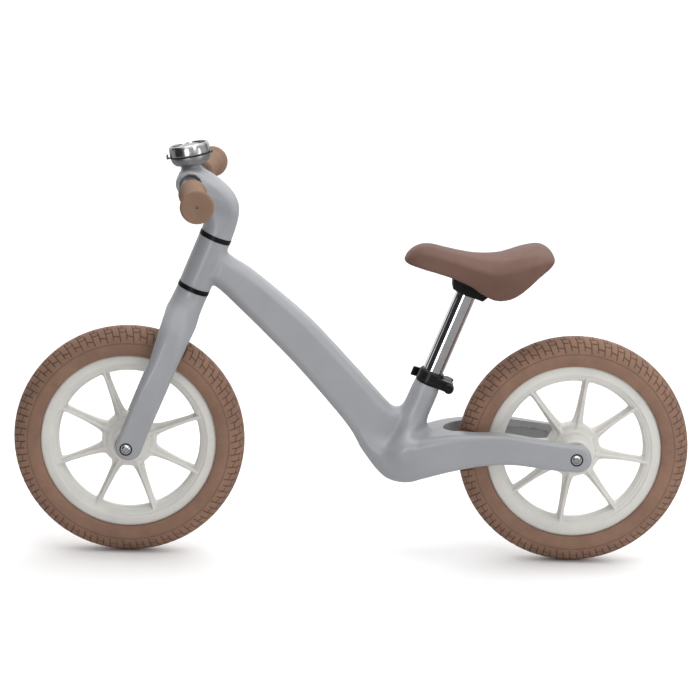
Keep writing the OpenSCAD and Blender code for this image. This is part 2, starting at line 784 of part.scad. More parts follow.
// Socket that takes the top of the post, with a foot that meets the plate
module saddle_bracket() {
    color(plastic_black) difference() {
        union() {
            on_seat_axis() translate([0, 0, bracket_bottom]) cylinder(r = 17.5, h = 40);
            intersection() {
                slab([[120.5, 388], [120.5, 349.5], [127, 345], [158, 334], [164, 339], [190, 352],
                    [194, 388]], 19);
                slab([[90, 300], [90, 380.8], [95, 380], [160, 368], [215, 376], [215, 300]], 40);
            }
        }
        on_seat_axis() translate([0, 0, bracket_bottom - 20])
            cylinder(r = post_d / 2, h = post_top - bracket_bottom + 20);
        slab([[20, 420], [20, 385], [95, 380], [160, 368], [215, 376], [260, 420]], 60);
        saddle_screws();
    }
}

module saddle_bolts() {
    color(steel_grey) saddle_screws();
}

main_frame();
upper_headset_cup();
lower_headset_cup();
upper_headset_bearing();
lower_headset_bearing();
seat_clamp_collar();
clamp_skewer();
clamp_nut();
clamp_pin();
clamp_lever();
rear_axle();
rear_axle_bolts();
rear_bolt_rings();
rear_hub_spacers();
fork();
steerer_tube();
draw_bolt();
stem();
handlebar();
bar_lock_screw();
left_grip();
right_grip();
bell_base();
bell_post();
bell_lever();
bell_striker();
bell_dome();
bell_ring();
bell_cap();
front_axle();
front_axle_bolts();
front_bolt_rings();
front_hub_spacers();
front_tyre();
front_wheel_core();
front_hub_bearings();
rear_tyre();
rear_wheel_core();
rear_hub_bearings();
seat_post();
saddle_bracket();
saddle_base();
saddle_pad();
saddle_bolts();
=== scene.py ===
import math
import bpy
import numpy as np
from mathutils import Matrix, Vector


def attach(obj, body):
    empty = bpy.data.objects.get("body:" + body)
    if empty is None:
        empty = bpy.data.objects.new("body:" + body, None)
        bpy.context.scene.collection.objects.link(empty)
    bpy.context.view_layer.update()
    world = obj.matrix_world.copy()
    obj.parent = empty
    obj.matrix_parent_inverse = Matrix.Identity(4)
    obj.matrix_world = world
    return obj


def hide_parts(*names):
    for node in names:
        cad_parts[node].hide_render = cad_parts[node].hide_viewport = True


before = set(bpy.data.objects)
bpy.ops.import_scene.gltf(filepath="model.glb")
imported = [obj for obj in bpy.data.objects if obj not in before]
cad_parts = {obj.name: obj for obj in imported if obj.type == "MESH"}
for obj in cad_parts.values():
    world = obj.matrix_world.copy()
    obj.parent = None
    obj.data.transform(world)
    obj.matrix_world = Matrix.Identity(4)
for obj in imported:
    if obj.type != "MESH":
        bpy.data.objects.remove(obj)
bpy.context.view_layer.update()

MM = 0.001

# ---------- sizes, in millimetres, as in the CAD model ----------
AXLE_Z = 145.0
FRONT_X = -279.5
REAR_X = 279.5
HEAD_TILT = math.radians(21.9)
SEAT_TILT = math.radians(21.0)
BELL_LEAN = math.radians(11.0)
HEAD_BOTTOM = 212.5
HEAD_TOP = 278.0
HEAD_R = 20.0
CUP_H = 5.2
CROWN_TOP = 207.0
STEM_BOTTOM = 283.5
SEAT_X, SEAT_Z = 93.8, 225.3
SEAT_TUBE_R = 16.4
COLLAR_H = 16.0
EAR_U, EAR_W, LEVER_Y = 25.0, 6.5, 21.0
POST_R, POST_TOP, POST_L = 12.7, 140.0, 190.0
BAR_X, BAR_Z, BAR_R = -205.0, 471.5, 11.1
BAR_BEND_Y, BAR_BEND_R = 32.0, 80.0
BAR_SWEEP = math.radians(6.0)
GRIP_L, GRIP_END_Y = 105.0, 190.0
BELL_X, BELL_Z, BELL_R = -205.0, 494.6, 25.0
BELL_BASE_H, BELL_PLATE_H, BELL_DOME_H = 11.0, 1.2, 13.0
GAP = 0.3
DROPOUT_Y, DROPOUT_T = 58.0, 13.5
DROPOUT_IN = DROPOUT_Y - DROPOUT_T
SPOKES = 8


# ---------- frames of reference ----------
def tilted(x, z, angle):
    """Matrix from a leaning part's own axes (across, y, along) in mm to the bike's in metres."""
    c, s = math.cos(angle), math.sin(angle)
    return np.array([[c, 0, s, x], [0, 1, 0, 0], [-s, 0, c, z]], dtype=float)


WORLD = tilted(0, 0, 0)
STEER = tilted(FRONT_X, AXLE_Z, HEAD_TILT)
SEAT = tilted(SEAT_X, SEAT_Z, SEAT_TILT)
BELL = tilted(BELL_X, BELL_Z, -BELL_LEAN)
FRONT_AXLE = tilted(FRONT_X, AXLE_Z, 0)
REAR_AXLE = tilted(REAR_X, AXLE_Z, 0)


def local(matrix, x, z):
    """Coordinates (across, along) of the bike's x and z in a leaning part's own axes."""
    c, s = matrix[0, 0], matrix[0, 2]
    dx, dz = x - matrix[0, 3], z - matrix[2, 3]
    return dx * c - dz * s, dx * s + dz * c


# ---------- outlines and fields ----------
def smooth(points, n=8):
    """Smooth open curve through a few points, ends included."""
    out = []
    count = len(points)
    for i in range(count - 1):
        a = np.array(points[max(i - 1, 0)], dtype=float)
        b = np.array(points[i], dtype=float)
        c = np.array(points[i + 1], dtype=float)
        d = np.array(points[min(i + 2, count - 1)], dtype=float)
        for k in range(n):
            t = k / n
            out.append(0.5 * (2 * b + (c - a) * t + (2 * a - 5 * b + 4 * c - d) * t * t
                              + (3 * b - a - 3 * c + d) * t ** 3))
    out.append(np.array(points[-1], dtype=float))
    return [tuple(p) for p in out]


def arc(x, y, r, a0, a1, n=12):
    """Points along a circle from one angle to another, in degrees."""
    turn = [math.radians(a0 + (a1 - a0) * i / n) for i in range(n + 1)]
    return [(x + r * math.cos(a), y + r * math.sin(a)) for a in turn]


def flipped(points):
    """An outline closed by its own reflection across the first axis."""
    return list(points) + [(p[0], -p[1]) for p in reversed(points)]


def mirrored(points):
    """An outline closed by its own reflection across the second axis."""
    return list(points) + [(-p[0], p[1]) for p in reversed(points)]


def outline(points, px, py):
    """Signed distance to a closed outline, negative inside."""
    px, py = np.broadcast_arrays(np.asarray(px, dtype=float), np.asarray(py, dtype=float))
    best = np.full(px.shape, 1e12)
    inside = np.zeros(px.shape, dtype=bool)
    for (ax, ay), (bx, by) in zip(points, list(points[1:]) + [points[0]]):
        ex, ey = bx - ax, by - ay
        length = ex * ex + ey * ey
        if length < 1e-9:
            continue
        wx, wy = px - ax, py - ay
        t = np.clip((wx * ex + wy * ey) / length, 0, 1)
        best = np.minimum(best, (wx - ex * t) ** 2 + (wy - ey * t) ** 2)
        if ay != by:
            inside ^= ((ay > py) != (by > py)) & (px < ax + wy * ex / ey)
    return np.where(inside, -1, 1) * np.sqrt(best)


def soft_min(a, b, k):
    """Two shapes joined, with a fillet about as wide as k."""
    h = np.clip(0.5 + 0.5 * (b - a) / k, 0, 1)
    return b + (a - b) * h - k * h * (1 - h)


def soft_max(a, b, k):
    return -soft_min(-a, -b, k)


def both(a, b, r):
    """Inside both shapes, with the edge between them rounded by r."""
    p, q = a + r, b + r
    return np.sqrt(np.maximum(p, 0) ** 2 + np.maximum(q, 0) ** 2) + np.minimum(np.maximum(p, q), 0) - r


def ramp(x, x0, x1, v0, v1):
    """A value that eases from v0 at x0 to v1 at x1."""
    t = np.clip((x - x0) / (x1 - x0), 0, 1)
    t = t * t * (3 - 2 * t)
    return v0 + (v1 - v0) * t


# ---------- meshes ----------
def new_object(name, verts, faces, matrix):
    """An object from points in mm in a part's own axes."""
    verts = np.asarray(verts, dtype=float)
    verts = (verts @ matrix[:, :3].T + matrix[:, 3]) * MM
    mesh = bpy.data.meshes.new(name)
    mesh.from_pydata(verts.tolist(), [], [list(map(int, f)) for f in faces])
    mesh.update()
    mesh.polygons.foreach_set("use_smooth", [True] * len(mesh.polygons))
    o = bpy.data.objects.new(name, mesh)
    bpy.context.scene.collection.objects.link(o)
    return o


CORNERS = [(i, j, k) for i in (0, 1) for j in (0, 1) for k in (0, 1)]
EDGES = [(a, b) for a in CORNERS for b in CORNERS
         if sum(abs(p - q) for p, q in zip(a, b)) == 1 and a < b]


def net(values, low, step):
    """Quads around the zero surface of samples on a grid."""
    inside = values < 0
    shape = tuple(n - 1 for n in values.shape)
    total = np.zeros(shape, dtype=np.int8)
    for i, j, k in CORNERS:
        total += inside[i:i + shape[0], j:j + shape[1], k:k + shape[2]]
    active = (total > 0) & (total < 8)
    index = np.full(shape, -1, dtype=np.int64)
    cells = np.argwhere(active)
    index[active] = np.arange(len(cells))
    where = np.zeros((len(cells), 3))
    count = np.zeros(len(cells))
    for a, b in EDGES:
        va = values[tuple((cells + a).T)]
        vb = values[tuple((cells + b).T)]
        hit = (va < 0) != (vb < 0)
        t = np.where(hit, va / np.where(va == vb, 1, va - vb), 0)
        point = np.array(a) + t[:, None] * (np.array(b) - np.array(a))
        where[hit] += point[hit]
        count[hit] += 1
    verts = np.array(low) + step * (cells + where / count[:, None])
    faces = []
    for axis in range(3):
        p, q = (axis + 1) % 3, (axis + 2) % 3
        first = np.take(inside, range(shape[axis]), axis=axis)
        second = np.take(inside, range(1, shape[axis] + 1), axis=axis)
        at = np.argwhere(first != second)
        at = at[(at[:, p] > 0) & (at[:, q] > 0) & (at[:, p] < shape[p]) & (at[:, q] < shape[q])]
        dp, dq = np.eye(3, dtype=int)[p], np.eye(3, dtype=int)[q]
        quad = np.stack([index[tuple((at - dp - dq).T)], index[tuple((at - dq).T)],
                         index[tuple(at.T)], index[tuple((at - dp).T)]], axis=1)
        out = first[tuple(at.T)]
        faces.append(np.where(out[:, None], quad, quad[:, ::-1]))
    return verts, np.concatenate(faces)


def slopes(field, verts):
    """The field's slope along each axis at every point."""
    eps = 0.12
    x, y, z = verts.T
    return np.stack([field(x + eps, y, z) - field(x - eps, y, z),
                     field(x, y + eps, z) - field(x, y - eps, z),
                     field(x, y, z + eps) - field(x, y, z - eps)], axis=1) / (2 * eps)


def pulled(field, verts, limit):
    """Points moved one step towards the field's zero surface."""
    grad = slopes(field, verts)
    size = np.maximum((grad ** 2).sum(axis=1), 0.2)
    move = -(field(*verts.T) / size)[:, None] * grad
    return verts + np.clip(move, -limit, limit)


def settle(body, cuts, verts, step):
    """Moves points onto the surface, and those at a cut's edge onto the edge itself."""
    start = verts.copy()

    def whole(x, y, z):
        return np.maximum.reduce([body(x, y, z)] + [np.broadcast_to(c(x, y, z), x.shape) for c in cuts])

    for _ in range(3):
        verts = pulled(whole, verts, 0.6 * step)
    parts = [body] + list(cuts)
    near = [np.abs(np.broadcast_to(part(*verts.T), (len(verts),))) < 0.55 * step for part in parts]
    for i in range(len(parts)):
        for j in range(i + 1, len(parts)):
            at = np.where(near[i] & near[j])[0]
            moved = verts[at]
            for _ in range(5):
                moved = pulled(parts[j], pulled(parts[i], moved, step), step)
            keep = (np.abs(moved - verts[at]).max(axis=1) < step) & (whole(*moved.T) < 0.1)
            verts[at[keep]] = moved[keep]
    return start + np.clip(verts - start, -1.2 * step, 1.2 * step)


def solid(name, body, low, high, step, matrix=WORLD, cuts=()):
    """A closed surface round the space where the body and every cut are negative."""
    axes = [np.arange(a, b + step, step) for a, b in zip(low, high)]
    grid = (axes[0][:, None, None], axes[1][None, :, None], axes[2][None, None, :])
    values = np.broadcast_to(body(*grid), tuple(len(a) for a in axes))
    for cut in cuts:
        values = np.maximum(values, cut(*grid))
    verts, faces = net(values, low, step)
    verts = settle(body, cuts, verts, step)
    o = new_object(name, verts, faces, matrix)
    if cuts:
        crisp(o, 50)
    return o


def lathe(name, profile, matrix, segments=96, closed=False):
    """A profile of (radius, station) turned about a part's long axis."""
    profile = [(max(r, 0.0), s) for r, s in profile]
    verts, faces, rings = [], [], []
    for r, s in profile:
        if r < 1e-6:
            rings.append([len(verts)])
            verts.append((0, 0, s))
        else:
            rings.append(list(range(len(verts), len(verts) + segments)))
            for i in range(segments):
                a = 2 * math.pi * i / segments
                verts.append((r * math.cos(a), r * math.sin(a), s))
    pairs = list(zip(rings, rings[1:]))
    if closed:
        pairs.append((rings[-1], rings[0]))
    for a, b in pairs:
        for i in range(segments):
            j = (i + 1) % segments
            if len(a) > 1 and len(b) > 1:
                faces.append((a[i], a[j], b[j], b[i]))
            elif len(b) > 1:
                faces.append((a[0], b[j], b[i]))
            elif len(a) > 1:
                faces.append((a[i], a[j], b[0]))
    o = new_object(name, verts, faces, matrix)
    crisp(o, 40)
    return o


def crisp(o, degrees):
    """Keeps edges sharper than an angle from being shaded as round."""
    with bpy.context.temp_override(object=o, active_object=o, selected_editable_objects=[o],
                                   selected_objects=[o]):
        bpy.ops.object.shade_smooth_by_angle(angle=math.radians(degrees))


# ---------- materials ----------
class Nodes:
    """A short way to write a node material."""

    def __init__(self, name):
        self.mat = bpy.data.materials.new(name)
        self.mat.use_nodes = True
        self.tree = self.mat.node_tree
        self.shader = self.tree.nodes["Principled BSDF"]
        self.coords = self.tree.nodes.new("ShaderNodeTexCoord").outputs["Object"]

    def link(self, a, b):
        self.tree.links.new(a, b)

    def noise(self, scale, detail=3.0, roughness=0.5, stretch=None):
        node = self.tree.nodes.new("ShaderNodeTexNoise")
        node.inputs["Scale"].default_value = scale
        node.inputs["Detail"].default_value = detail
        node.inputs["Roughness"].default_value = roughness
        source = self.coords
        if stretch:
            mapping = self.tree.nodes.new("ShaderNodeMapping")
            mapping.inputs["Scale"].default_value = stretch
            self.link(self.coords, mapping.inputs["Vector"])
            source = mapping.outputs["Vector"]
        self.link(source, node.inputs["Vector"])
        return node.outputs["Fac"]

    def spread(self, value, low, high, start=0.3, stop=0.7):
        node = self.tree.nodes.new("ShaderNodeMapRange")
        node.inputs["From Min"].default_value = start
        node.inputs["From Max"].default_value = stop
        node.inputs["To Min"].default_value = low
        node.inputs["To Max"].default_value = high
        self.link(value, node.inputs["Value"])
        return node.outputs["Result"]

    def colours(self, value, first, second, start=0.35, stop=0.65):
        node = self.tree.nodes.new("ShaderNodeValToRGB")
        node.color_ramp.elements[0].position = start
        node.color_ramp.elements[0].color = (*first, 1)
        node.color_ramp.elements[1].position = stop
        node.color_ramp.elements[1].color = (*second, 1)
        self.link(value, node.inputs["Fac"])
        return node.outputs["Color"]

    def mixed(self, value, first, second):
        node = self.tree.nodes.new("ShaderNodeMix")
        node.data_type = "RGBA"
        self.link(value, node.inputs["Factor"])
        for sock, source in ((node.inputs["A"], first), (node.inputs["B"], second)):
            if isinstance(source, tuple):
                sock.default_value = (*source, 1)
            else:
                self.link(source, sock)
        return node.outputs["Result"]

    def bump(self, height, strength, distance, after=None):
        node = self.tree.nodes.new("ShaderNodeBump")
        node.inputs["Strength"].default_value = strength
        node.inputs["Distance"].default_value = distance
        self.link(height, node.inputs["Height"])
        if after is not None:
            self.link(after, node.inputs["Normal"])
        return node.outputs["Normal"]

    def attribute(self, name):
        node = self.tree.nodes.new("ShaderNodeAttribute")
        node.attribute_name = name
        return node.outputs["Fac"]

    def edges(self, start, stop):
        # curvature mask, used for painted highlights on convex edges and painted shade in hollows
        geometry = self.tree.nodes.new("ShaderNodeNewGeometry")
        return self.spread(geometry.outputs["Pointiness"], 0, 1, start, stop)

    def finish(self, colour, rough, normal, **plain):
        self.link(colour, self.shader.inputs["Base Color"])
        self.link(rough, self.shader.inputs["Roughness"])
        if normal is not None:
            self.link(normal, self.shader.inputs["Normal"])
        for key, value in plain.items():
            self.shader.inputs[key.replace("_", " ")].default_value = value
        return self.mat


def tint(colour, factor):
    return tuple(min(1.0, c * factor) for c in colour)


def powder_coat():
    """Satin paint over a casting: fine orange peel, slow waviness, and convex edges painted lighter as a
    painted highlight.
    """
    n = Nodes("grey_satin_paint")
    base = (0.298, 0.303, 0.322)
    cloud = n.noise(14, 3, 0.6)
    colour = n.colours(cloud, tint(base, 0.965), tint(base, 1.03))
    # painted highlight: convex edges painted lighter than the paint's own grey
    colour = n.mixed(n.edges(0.56, 0.66), colour, tint(base, 1.22))
    peel = n.noise(1500, 2, 0.5)
    wave = n.noise(45, 2, 0.5)
    normal = n.bump(wave, 0.10, 0.001)
    normal = n.bump(peel, 0.10, 0.00012, normal)
    rough = n.spread(n.noise(60, 4, 0.6), 0.36, 0.46)
    return n.finish(colour, rough, normal, Specular_IOR_Level=0.5, Coat_Weight=0.32,
                    Coat_Roughness=0.2)


def foam_tyre():
    """Closed-cell tyre foam: matte, with specks and a moulding bloom, and painted shade in the grooves."""
    n = Nodes("brown_tyre_foam")
    base = (0.232, 0.135, 0.094)
    cloud = n.noise(30, 4, 0.65)
    speck = n.noise(900, 2, 0.6)
    colour = n.colours(cloud, tint(base, 0.88), tint(base, 1.08))
    colour = n.mixed(n.spread(speck, 0, 0.35, 0.55, 0.75), colour, tint(base, 0.6))
    # painted shade: grooves and side lines darkened where shade falls in them
    colour = n.mixed(n.attribute("groove"), colour, tint(base, 0.32))
    normal = n.bump(speck, 0.25, 0.0002)
    normal = n.bump(n.noise(160, 3, 0.6), 0.15, 0.0004, normal)
    rough = n.spread(cloud, 0.62, 0.78)
    return n.finish(colour, rough, normal, Specular_IOR_Level=0.22, Sheen_Weight=0.0)


def moulded_nylon():
    n = Nodes("ivory_moulded_nylon")
    base = (0.625, 0.612, 0.578)
    cloud = n.noise(22, 4, 0.6)
    colour = n.colours(cloud, tint(base, 0.95), tint(base, 1.02))
    # painted shade: hollows and inner corners of the wheel darkened
    colour = n.mixed(n.edges(0.47, 0.41), colour, tint(base, 0.78))
    grain = n.noise(1100, 2, 0.5)
    normal = n.bump(grain, 0.12, 0.0001)
    normal = n.bump(n.noise(60, 2, 0.5), 0.08, 0.0008, normal)
    rough = n.spread(n.noise(80, 3, 0.6), 0.42, 0.56)
    return n.finish(colour, rough, normal, Subsurface_Weight=0.04, Subsurface_Scale=0.003)


def grip_rubber():
    n = Nodes("brown_grip_rubber")
    base = (0.225, 0.138, 0.092)
    grain = n.noise(1500, 2, 0.6)
    cloud = n.noise(40, 4, 0.6)
    colour = n.colours(cloud, tint(base, 0.9), tint(base, 1.08))
    colour = n.mixed(n.spread(grain, 0, 0.25, 0.5, 0.8), colour, tint(base, 0.65))
    normal = n.bump(grain, 0.3, 0.00015)
    rough = n.spread(cloud, 0.55, 0.7)
    return n.finish(colour, rough, normal, Specular_IOR_Level=0.22)


def saddle_skin():
    """Self-skinning foam with a fine leather-like grain, and a painted highlight on convex edges."""
    n = Nodes("brown_saddle_skin")
    base = (0.150, 0.081, 0.061)
    cells = n.tree.nodes.new("ShaderNodeTexVoronoi")
    cells.feature = "DISTANCE_TO_EDGE"
    cells.inputs["Scale"].default_value = 520
    n.link(n.coords, cells.inputs["Vector"])
    cloud = n.noise(18, 4, 0.6)
    colour = n.colours(cloud, tint(base, 0.9), tint(base, 1.08))
    colour = n.mixed(n.spread(cells.outputs["Distance"], 0.3, 0, 0.0, 0.12), colour, tint(base, 0.7))
    # painted highlight: convex edges of the saddle painted lighter
    colour = n.mixed(n.edges(0.56, 0.68), colour, tint(base, 1.25))
    normal = n.bump(cells.outputs["Distance"], 0.22, 0.0002)
    normal = n.bump(n.noise(70, 3, 0.6), 0.12, 0.0006, normal)
    rough = n.spread(n.noise(90, 3, 0.6), 0.42, 0.54)
    return n.finish(colour, rough, normal, Specular_IOR_Level=0.22)


def black_plastic():
    n = Nodes("black_moulded_plastic")
    base = (0.007, 0.007, 0.0075)
    grain = n.noise(1400, 2, 0.6)
    colour = n.colours(n.noise(50, 3, 0.6), base, tint(base, 1.8))
    # painted highlight: convex edges painted lighter
    colour = n.mixed(n.edges(0.58, 0.72), colour, tint(base, 3.0))
    normal = n.bump(grain, 0.25, 0.00012)
    rough = n.spread(n.noise(120, 3, 0.6), 0.24, 0.4)
    return n.finish(colour, rough, normal, Specular_IOR_Level=0.14)


def black_coat():
    n = Nodes("black_coated_metal")
    base = (0.007, 0.007, 0.0075)
    colour = n.colours(n.noise(80, 3, 0.6), base, tint(base, 1.7))
    # painted highlight: convex edges painted grey
    colour = n.mixed(n.edges(0.57, 0.7), colour, (0.05, 0.05, 0.052))
    normal = n.bump(n.noise(900, 2, 0.5), 0.12, 0.0001)
    rough = n.spread(n.noise(100, 3, 0.6), 0.22, 0.34)
    return n.finish(colour, rough, normal, Specular_IOR_Level=0.2, Coat_Weight=0.1,
                    Coat_Roughness=0.2)


def metal(name, base, rough_low, rough_high, brush=(1, 1, 1), scale=300, strength=0.1):
    n = Nodes(name)
    streak = n.noise(scale, 4, 0.6, brush)
    colour = n.colours(streak, tint(base, 0.88), tint(base, 1.06))
    normal = n.bump(streak, strength, 0.00008)
    rough = n.spread(streak, rough_low, rough_high)
    return n.finish(colour, rough, normal, Metallic=1.0)


def paint(o, material):
    o.data.materials.clear()
    o.data.materials.append(material)


def paint_node(name, material):
    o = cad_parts[name]
    if not o.material_slots:
        o.data.materials.append(material)
    for item in o.material_slots:
        item.material = material


def piece(o, body, material, slot, *nodes):
    paint(o, material)
    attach(o, body)
    if nodes:
        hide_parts(*nodes)
    return o


# ---------- frame casting ----------
SPINE = [(-172, 394)] + smooth(
    [(-160, 385), (-150, 377.5), (-126, 362), (-65.5, 312.8), (-29.5, 277.5), (4.5, 241.5), (40, 204),
     (54, 194), (67, 200), (80, 226)]) + [(88, 226)] + smooth(
    [(96, 205), (91, 190), (95, 172), (108, 160)]) + smooth(
    [(116, 118.5), (92, 111.3), (74, 104.4), (58, 103.2), (45, 108.5), (31, 121.5), (8, 151.5),
     (-15, 182.5), (-69, 243.5), (-114, 288.5), (-146, 318.5), (-165, 336), (-177, 345)]) + [(-190, 352)]
ARM = smooth(
    [(14, 158), (28, 150), (44, 148.5), (64, 154.5), (84, 161), (102, 165.5), (122, 169.5), (158, 172.3),
     (190, 172.8), (238, 166.8), (264, 163.4)]) + arc(
    REAR_X + 2, AXLE_Z, 17, 85, -85) + smooth(
    [(262, 129), (240, 131.5), (206, 135.5), (184, 135), (158, 131.5), (124, 122.5), (92, 111.3),
     (74, 104.4), (58, 103.2), (45, 108.5), (34, 121), (24, 135), (16, 146)])
ARM_PLAN = smooth(
    [(-6, 0), (2, 9), (20, 19), (38, 26.5), (57, 34.5), (75, 41.5), (95, 47), (122, 51.5), (160, 55.5),
     (200, DROPOUT_Y), (250, DROPOUT_Y), (320, DROPOUT_Y)])
SLOT_PLAN = arc(115 + 28, 0, 28, 180, 110) + smooth(
    [(146, 32), (162, 36), (200, 38.5), (230, 42), (252, DROPOUT_IN), (330, DROPOUT_IN)])
POCKET = [(150, 140.5), (146, 144), (145, 152), (149, 160.5), (156, 163.6), (186, 163.8), (225, 160.3),
          (242, 157.8)] + arc(243.5, 148.5, 8.6, 75, -75) + [(235, 140.6), (205, 142), (184, 141.6)]


def frame_body(x, y, z):
    ay = np.abs(y)
    u, w = local(STEER, x, z)
    su, sw = local(SEAT, x, z)
    head = np.maximum(np.sqrt(u * u + y * y) - HEAD_R, np.maximum(HEAD_BOTTOM - 6 - w, w - HEAD_TOP - 6))
    half = ramp(x, -150, -60, 18.0, 19.0) - ramp(x, 15, 65, 0.0, 5.5)
    spine = both(outline(SPINE, x, z), ay - half, ramp(x, -170, -100, 16.0, 12.0))
    tube = np.maximum(np.sqrt(su * su + y * y) - SEAT_TUBE_R, np.maximum(sw - 6, -70 - sw))
    flare = ramp(sw, -80, -30, 31.0, 15.0)
    core = (np.sqrt((su / 13.0) ** 2 + (y / flare) ** 2) - 1) * 13.0
    core = both(core, np.maximum(sw + 6, -96 - sw), 5.0)
    arms = both(outline(ARM, x, z), outline(flipped(ARM_PLAN), x, ay), ramp(x, 60, 200, 11.0, 4.5))
    f = soft_min(spine, head, 5.0)
    f = soft_min(f, tube, 6.0)
    f = soft_min(f, core, 7.0)
    return soft_min(f, arms, ramp(x, 50, 122, 18.0, 7.0))


def pocket_cut(x, y, z):
    return -both(outline(POCKET, x, z), np.abs(np.abs(y) - 38) - 9.0, 2.5)


def slot_cut(x, y, z):
    return -outline(flipped(SLOT_PLAN), x, y) + 0 * z


def seat_top_cut(x, y, z):
    su, sw = local(SEAT, x, z)
    return np.where(np.sqrt(su * su + y * y) < 45, sw, -100.0)


def seat_bore_cut(x, y, z):
    su, sw = local(SEAT, x, z)
    return -np.maximum(np.sqrt(su * su + y * y) - 13.2, -112.0 - sw)


def head_ends_cut(x, y, z):
    u, w = local(STEER, x, z)
    ends = np.maximum(HEAD_BOTTOM - w, w - HEAD_TOP)
    return np.where(np.sqrt(u * u + y * y) < 23.5, ends, -100.0)


def head_bore_cut(x, y, z):
    u, w = local(STEER, x, z)
    return 16.2 - np.sqrt(u * u + y * y)


def make_frame(paint_mat):
    cuts = (slot_cut, pocket_cut, seat_top_cut, seat_bore_cut, head_ends_cut, head_bore_cut)
    o = solid("frame_casting", frame_body, (-225, -62, 98), (304, 62, 416), 1.9, cuts=cuts)
    piece(o, "frame", paint_mat, "frame_paint", "main_frame")


# ---------- fork ----------
FORK_FRONT = [(20, CROWN_TOP + 40)] + smooth(
    [(20, CROWN_TOP), (20, CROWN_TOP - 1)]) + smooth(
    [(20.3, 200), (25, 188), (36, 173), (47, 155), (54, 128), (57, 90), (DROPOUT_Y, 45),
     (DROPOUT_Y, -20)]) + smooth(
    [(DROPOUT_IN, -20), (DROPOUT_IN, 50), (41, 95), (34, 125), (29, 142), (21, 153), (10, 158.5),
     (0, 160)])
SIDE = [(-19.8, CROWN_TOP + 40)] + smooth(
    [(-19.8, CROWN_TOP), (-20.8, 186), (-22.0, 168), (-20.8, 150), (-18.2, 130), (-15.9, 108),
     (-15.3, 85), (-15, 30), (-14.6, 6)]) + arc(2, 2, 16.6, 175, 365, 16) + smooth(
    [(18.4, 6), (17.8, 30), (18.4, 85), (18.9, 115), (20.0, 140), (21.6, 155), (22.0, 167), (20.2, 180),
     (19.7, 192), (19.9, CROWN_TOP)]) + [(19.9, CROWN_TOP + 40)]


def fork_body(u, y, w):
    front = outline(mirrored(FORK_FRONT), y, w)
    return both(front, outline(SIDE, u, w), ramp(w, 60, 190, 6.2, 19.6))


def fork_top_cut(u, y, w):
    return w - CROWN_TOP + 0 * u


def make_fork(paint_mat):
    o = solid("fork_casting", fork_body, (-27, -62, -20), (29, 62, 212), 1.5, STEER, (fork_top_cut,))
    piece(o, "steering", paint_mat, "frame_paint", "fork")


# ---------- stem ----------
STEM = [(19.8, STEM_BOTTOM - 40)] + smooth(
    [(19.8, STEM_BOTTOM), (18.7, 300), (16.0, 315.5), (9.8, 328), (-1.5, 338.2), (-17, 346), (-34, 351),
     (-48, 352.5)]) + smooth(
    [(-62, 350), (-69, 341.5), (-71.4, 332), (-68.0, 321), (-58, 314), (-45, 312.8), (-32, 310),
     (-23.8, 302), (-20.3, 290), (-19.8, STEM_BOTTOM)]) + [(-19.8, STEM_BOTTOM - 40)]
STEM_FRONT = [(19.8, STEM_BOTTOM - 40)] + smooth(
    [(19.8, STEM_BOTTOM), (19.5, 300), (20.6, 312), (23.5, 322), (25, 332), (23, 342), (17, 350),
     (10, 360)]) + [(0, 362)]
BAR_U, BAR_W = local(STEER, BAR_X, BAR_Z)
NECK_U, NECK_W = local(STEER, BELL_X, BELL_Z)
NECK_TILT = HEAD_TILT + BELL_LEAN


def stem_body(u, y, w):
    ay = np.abs(y)
    r = ramp(w, 288, 320, 19.6, 9.5)
    f = both(outline(STEM, u, w), outline(mirrored(STEM_FRONT), y, w), r)
    boss_r = np.sqrt((u - BAR_U) ** 2 + (w - BAR_W) ** 2)
    f = soft_min(f, both(boss_r - 17.6, ay - 25.0, 4.0), 4.0)
    c, s = math.cos(NECK_TILT), math.sin(NECK_TILT)
    nu = (u - NECK_U) * c + (w - NECK_W) * s
    nw = -(u - NECK_U) * s + (w - NECK_W) * c
    neck_r = np.sqrt((nu + 2.0) ** 2 + y * y)
    neck = both(neck_r - ramp(nw, -12, -3, 13.6, 12.2), np.maximum(nw, -16 - nw), 0.8)
    return soft_min(f, neck, 3.5)


def stem_foot_cut(u, y, w):
    return STEM_BOTTOM - w + 0 * u


def boss_seat_cut(u, y, w):
    boss_r = np.sqrt((u - BAR_U) ** 2 + (w - BAR_W) ** 2)
    return -np.maximum(boss_r - 13.9, 19.5 - np.abs(y))


def boss_bore_cut(u, y, w):
    return BAR_R + 0.1 - np.sqrt((u - BAR_U) ** 2 + (w - BAR_W) ** 2) + 0 * y


def make_stem(paint_mat):
    cuts = (stem_foot_cut, boss_seat_cut, boss_bore_cut)
    o = solid("stem_casting", stem_body, (-90, -30, 280), (26, 30, 368), 1.2, STEER, cuts)
    piece(o, "steering", paint_mat, "frame_paint", "stem")


# ---------- headset rings ----------
def make_rings(black):
    """Black rings whose thin lips reach over the head tube's ends."""
    outer, lip = HEAD_R + 0.35, 0.9
    for name, node, low, high in (
            ("upper_head_ring", "upper_headset_cup", HEAD_TOP - lip, HEAD_TOP + CUP_H),
            ("lower_head_ring", "lower_headset_cup", HEAD_BOTTOM - CUP_H, HEAD_BOTTOM + lip)):
        mid = (low + high) / 2
        profile = [(16.5, low), (outer - 0.4, low), (outer, low + 0.4), (outer, mid - 0.5),
                   (outer - 0.6, mid - 0.2), (outer - 0.6, mid + 0.2), (outer, mid + 0.5),
                   (outer, high - 0.4), (outer - 0.4, high), (16.5, high)]
        o = lathe(name, profile, STEER, 128, closed=True)
        piece(o, "frame", black, "black_plastic", node)


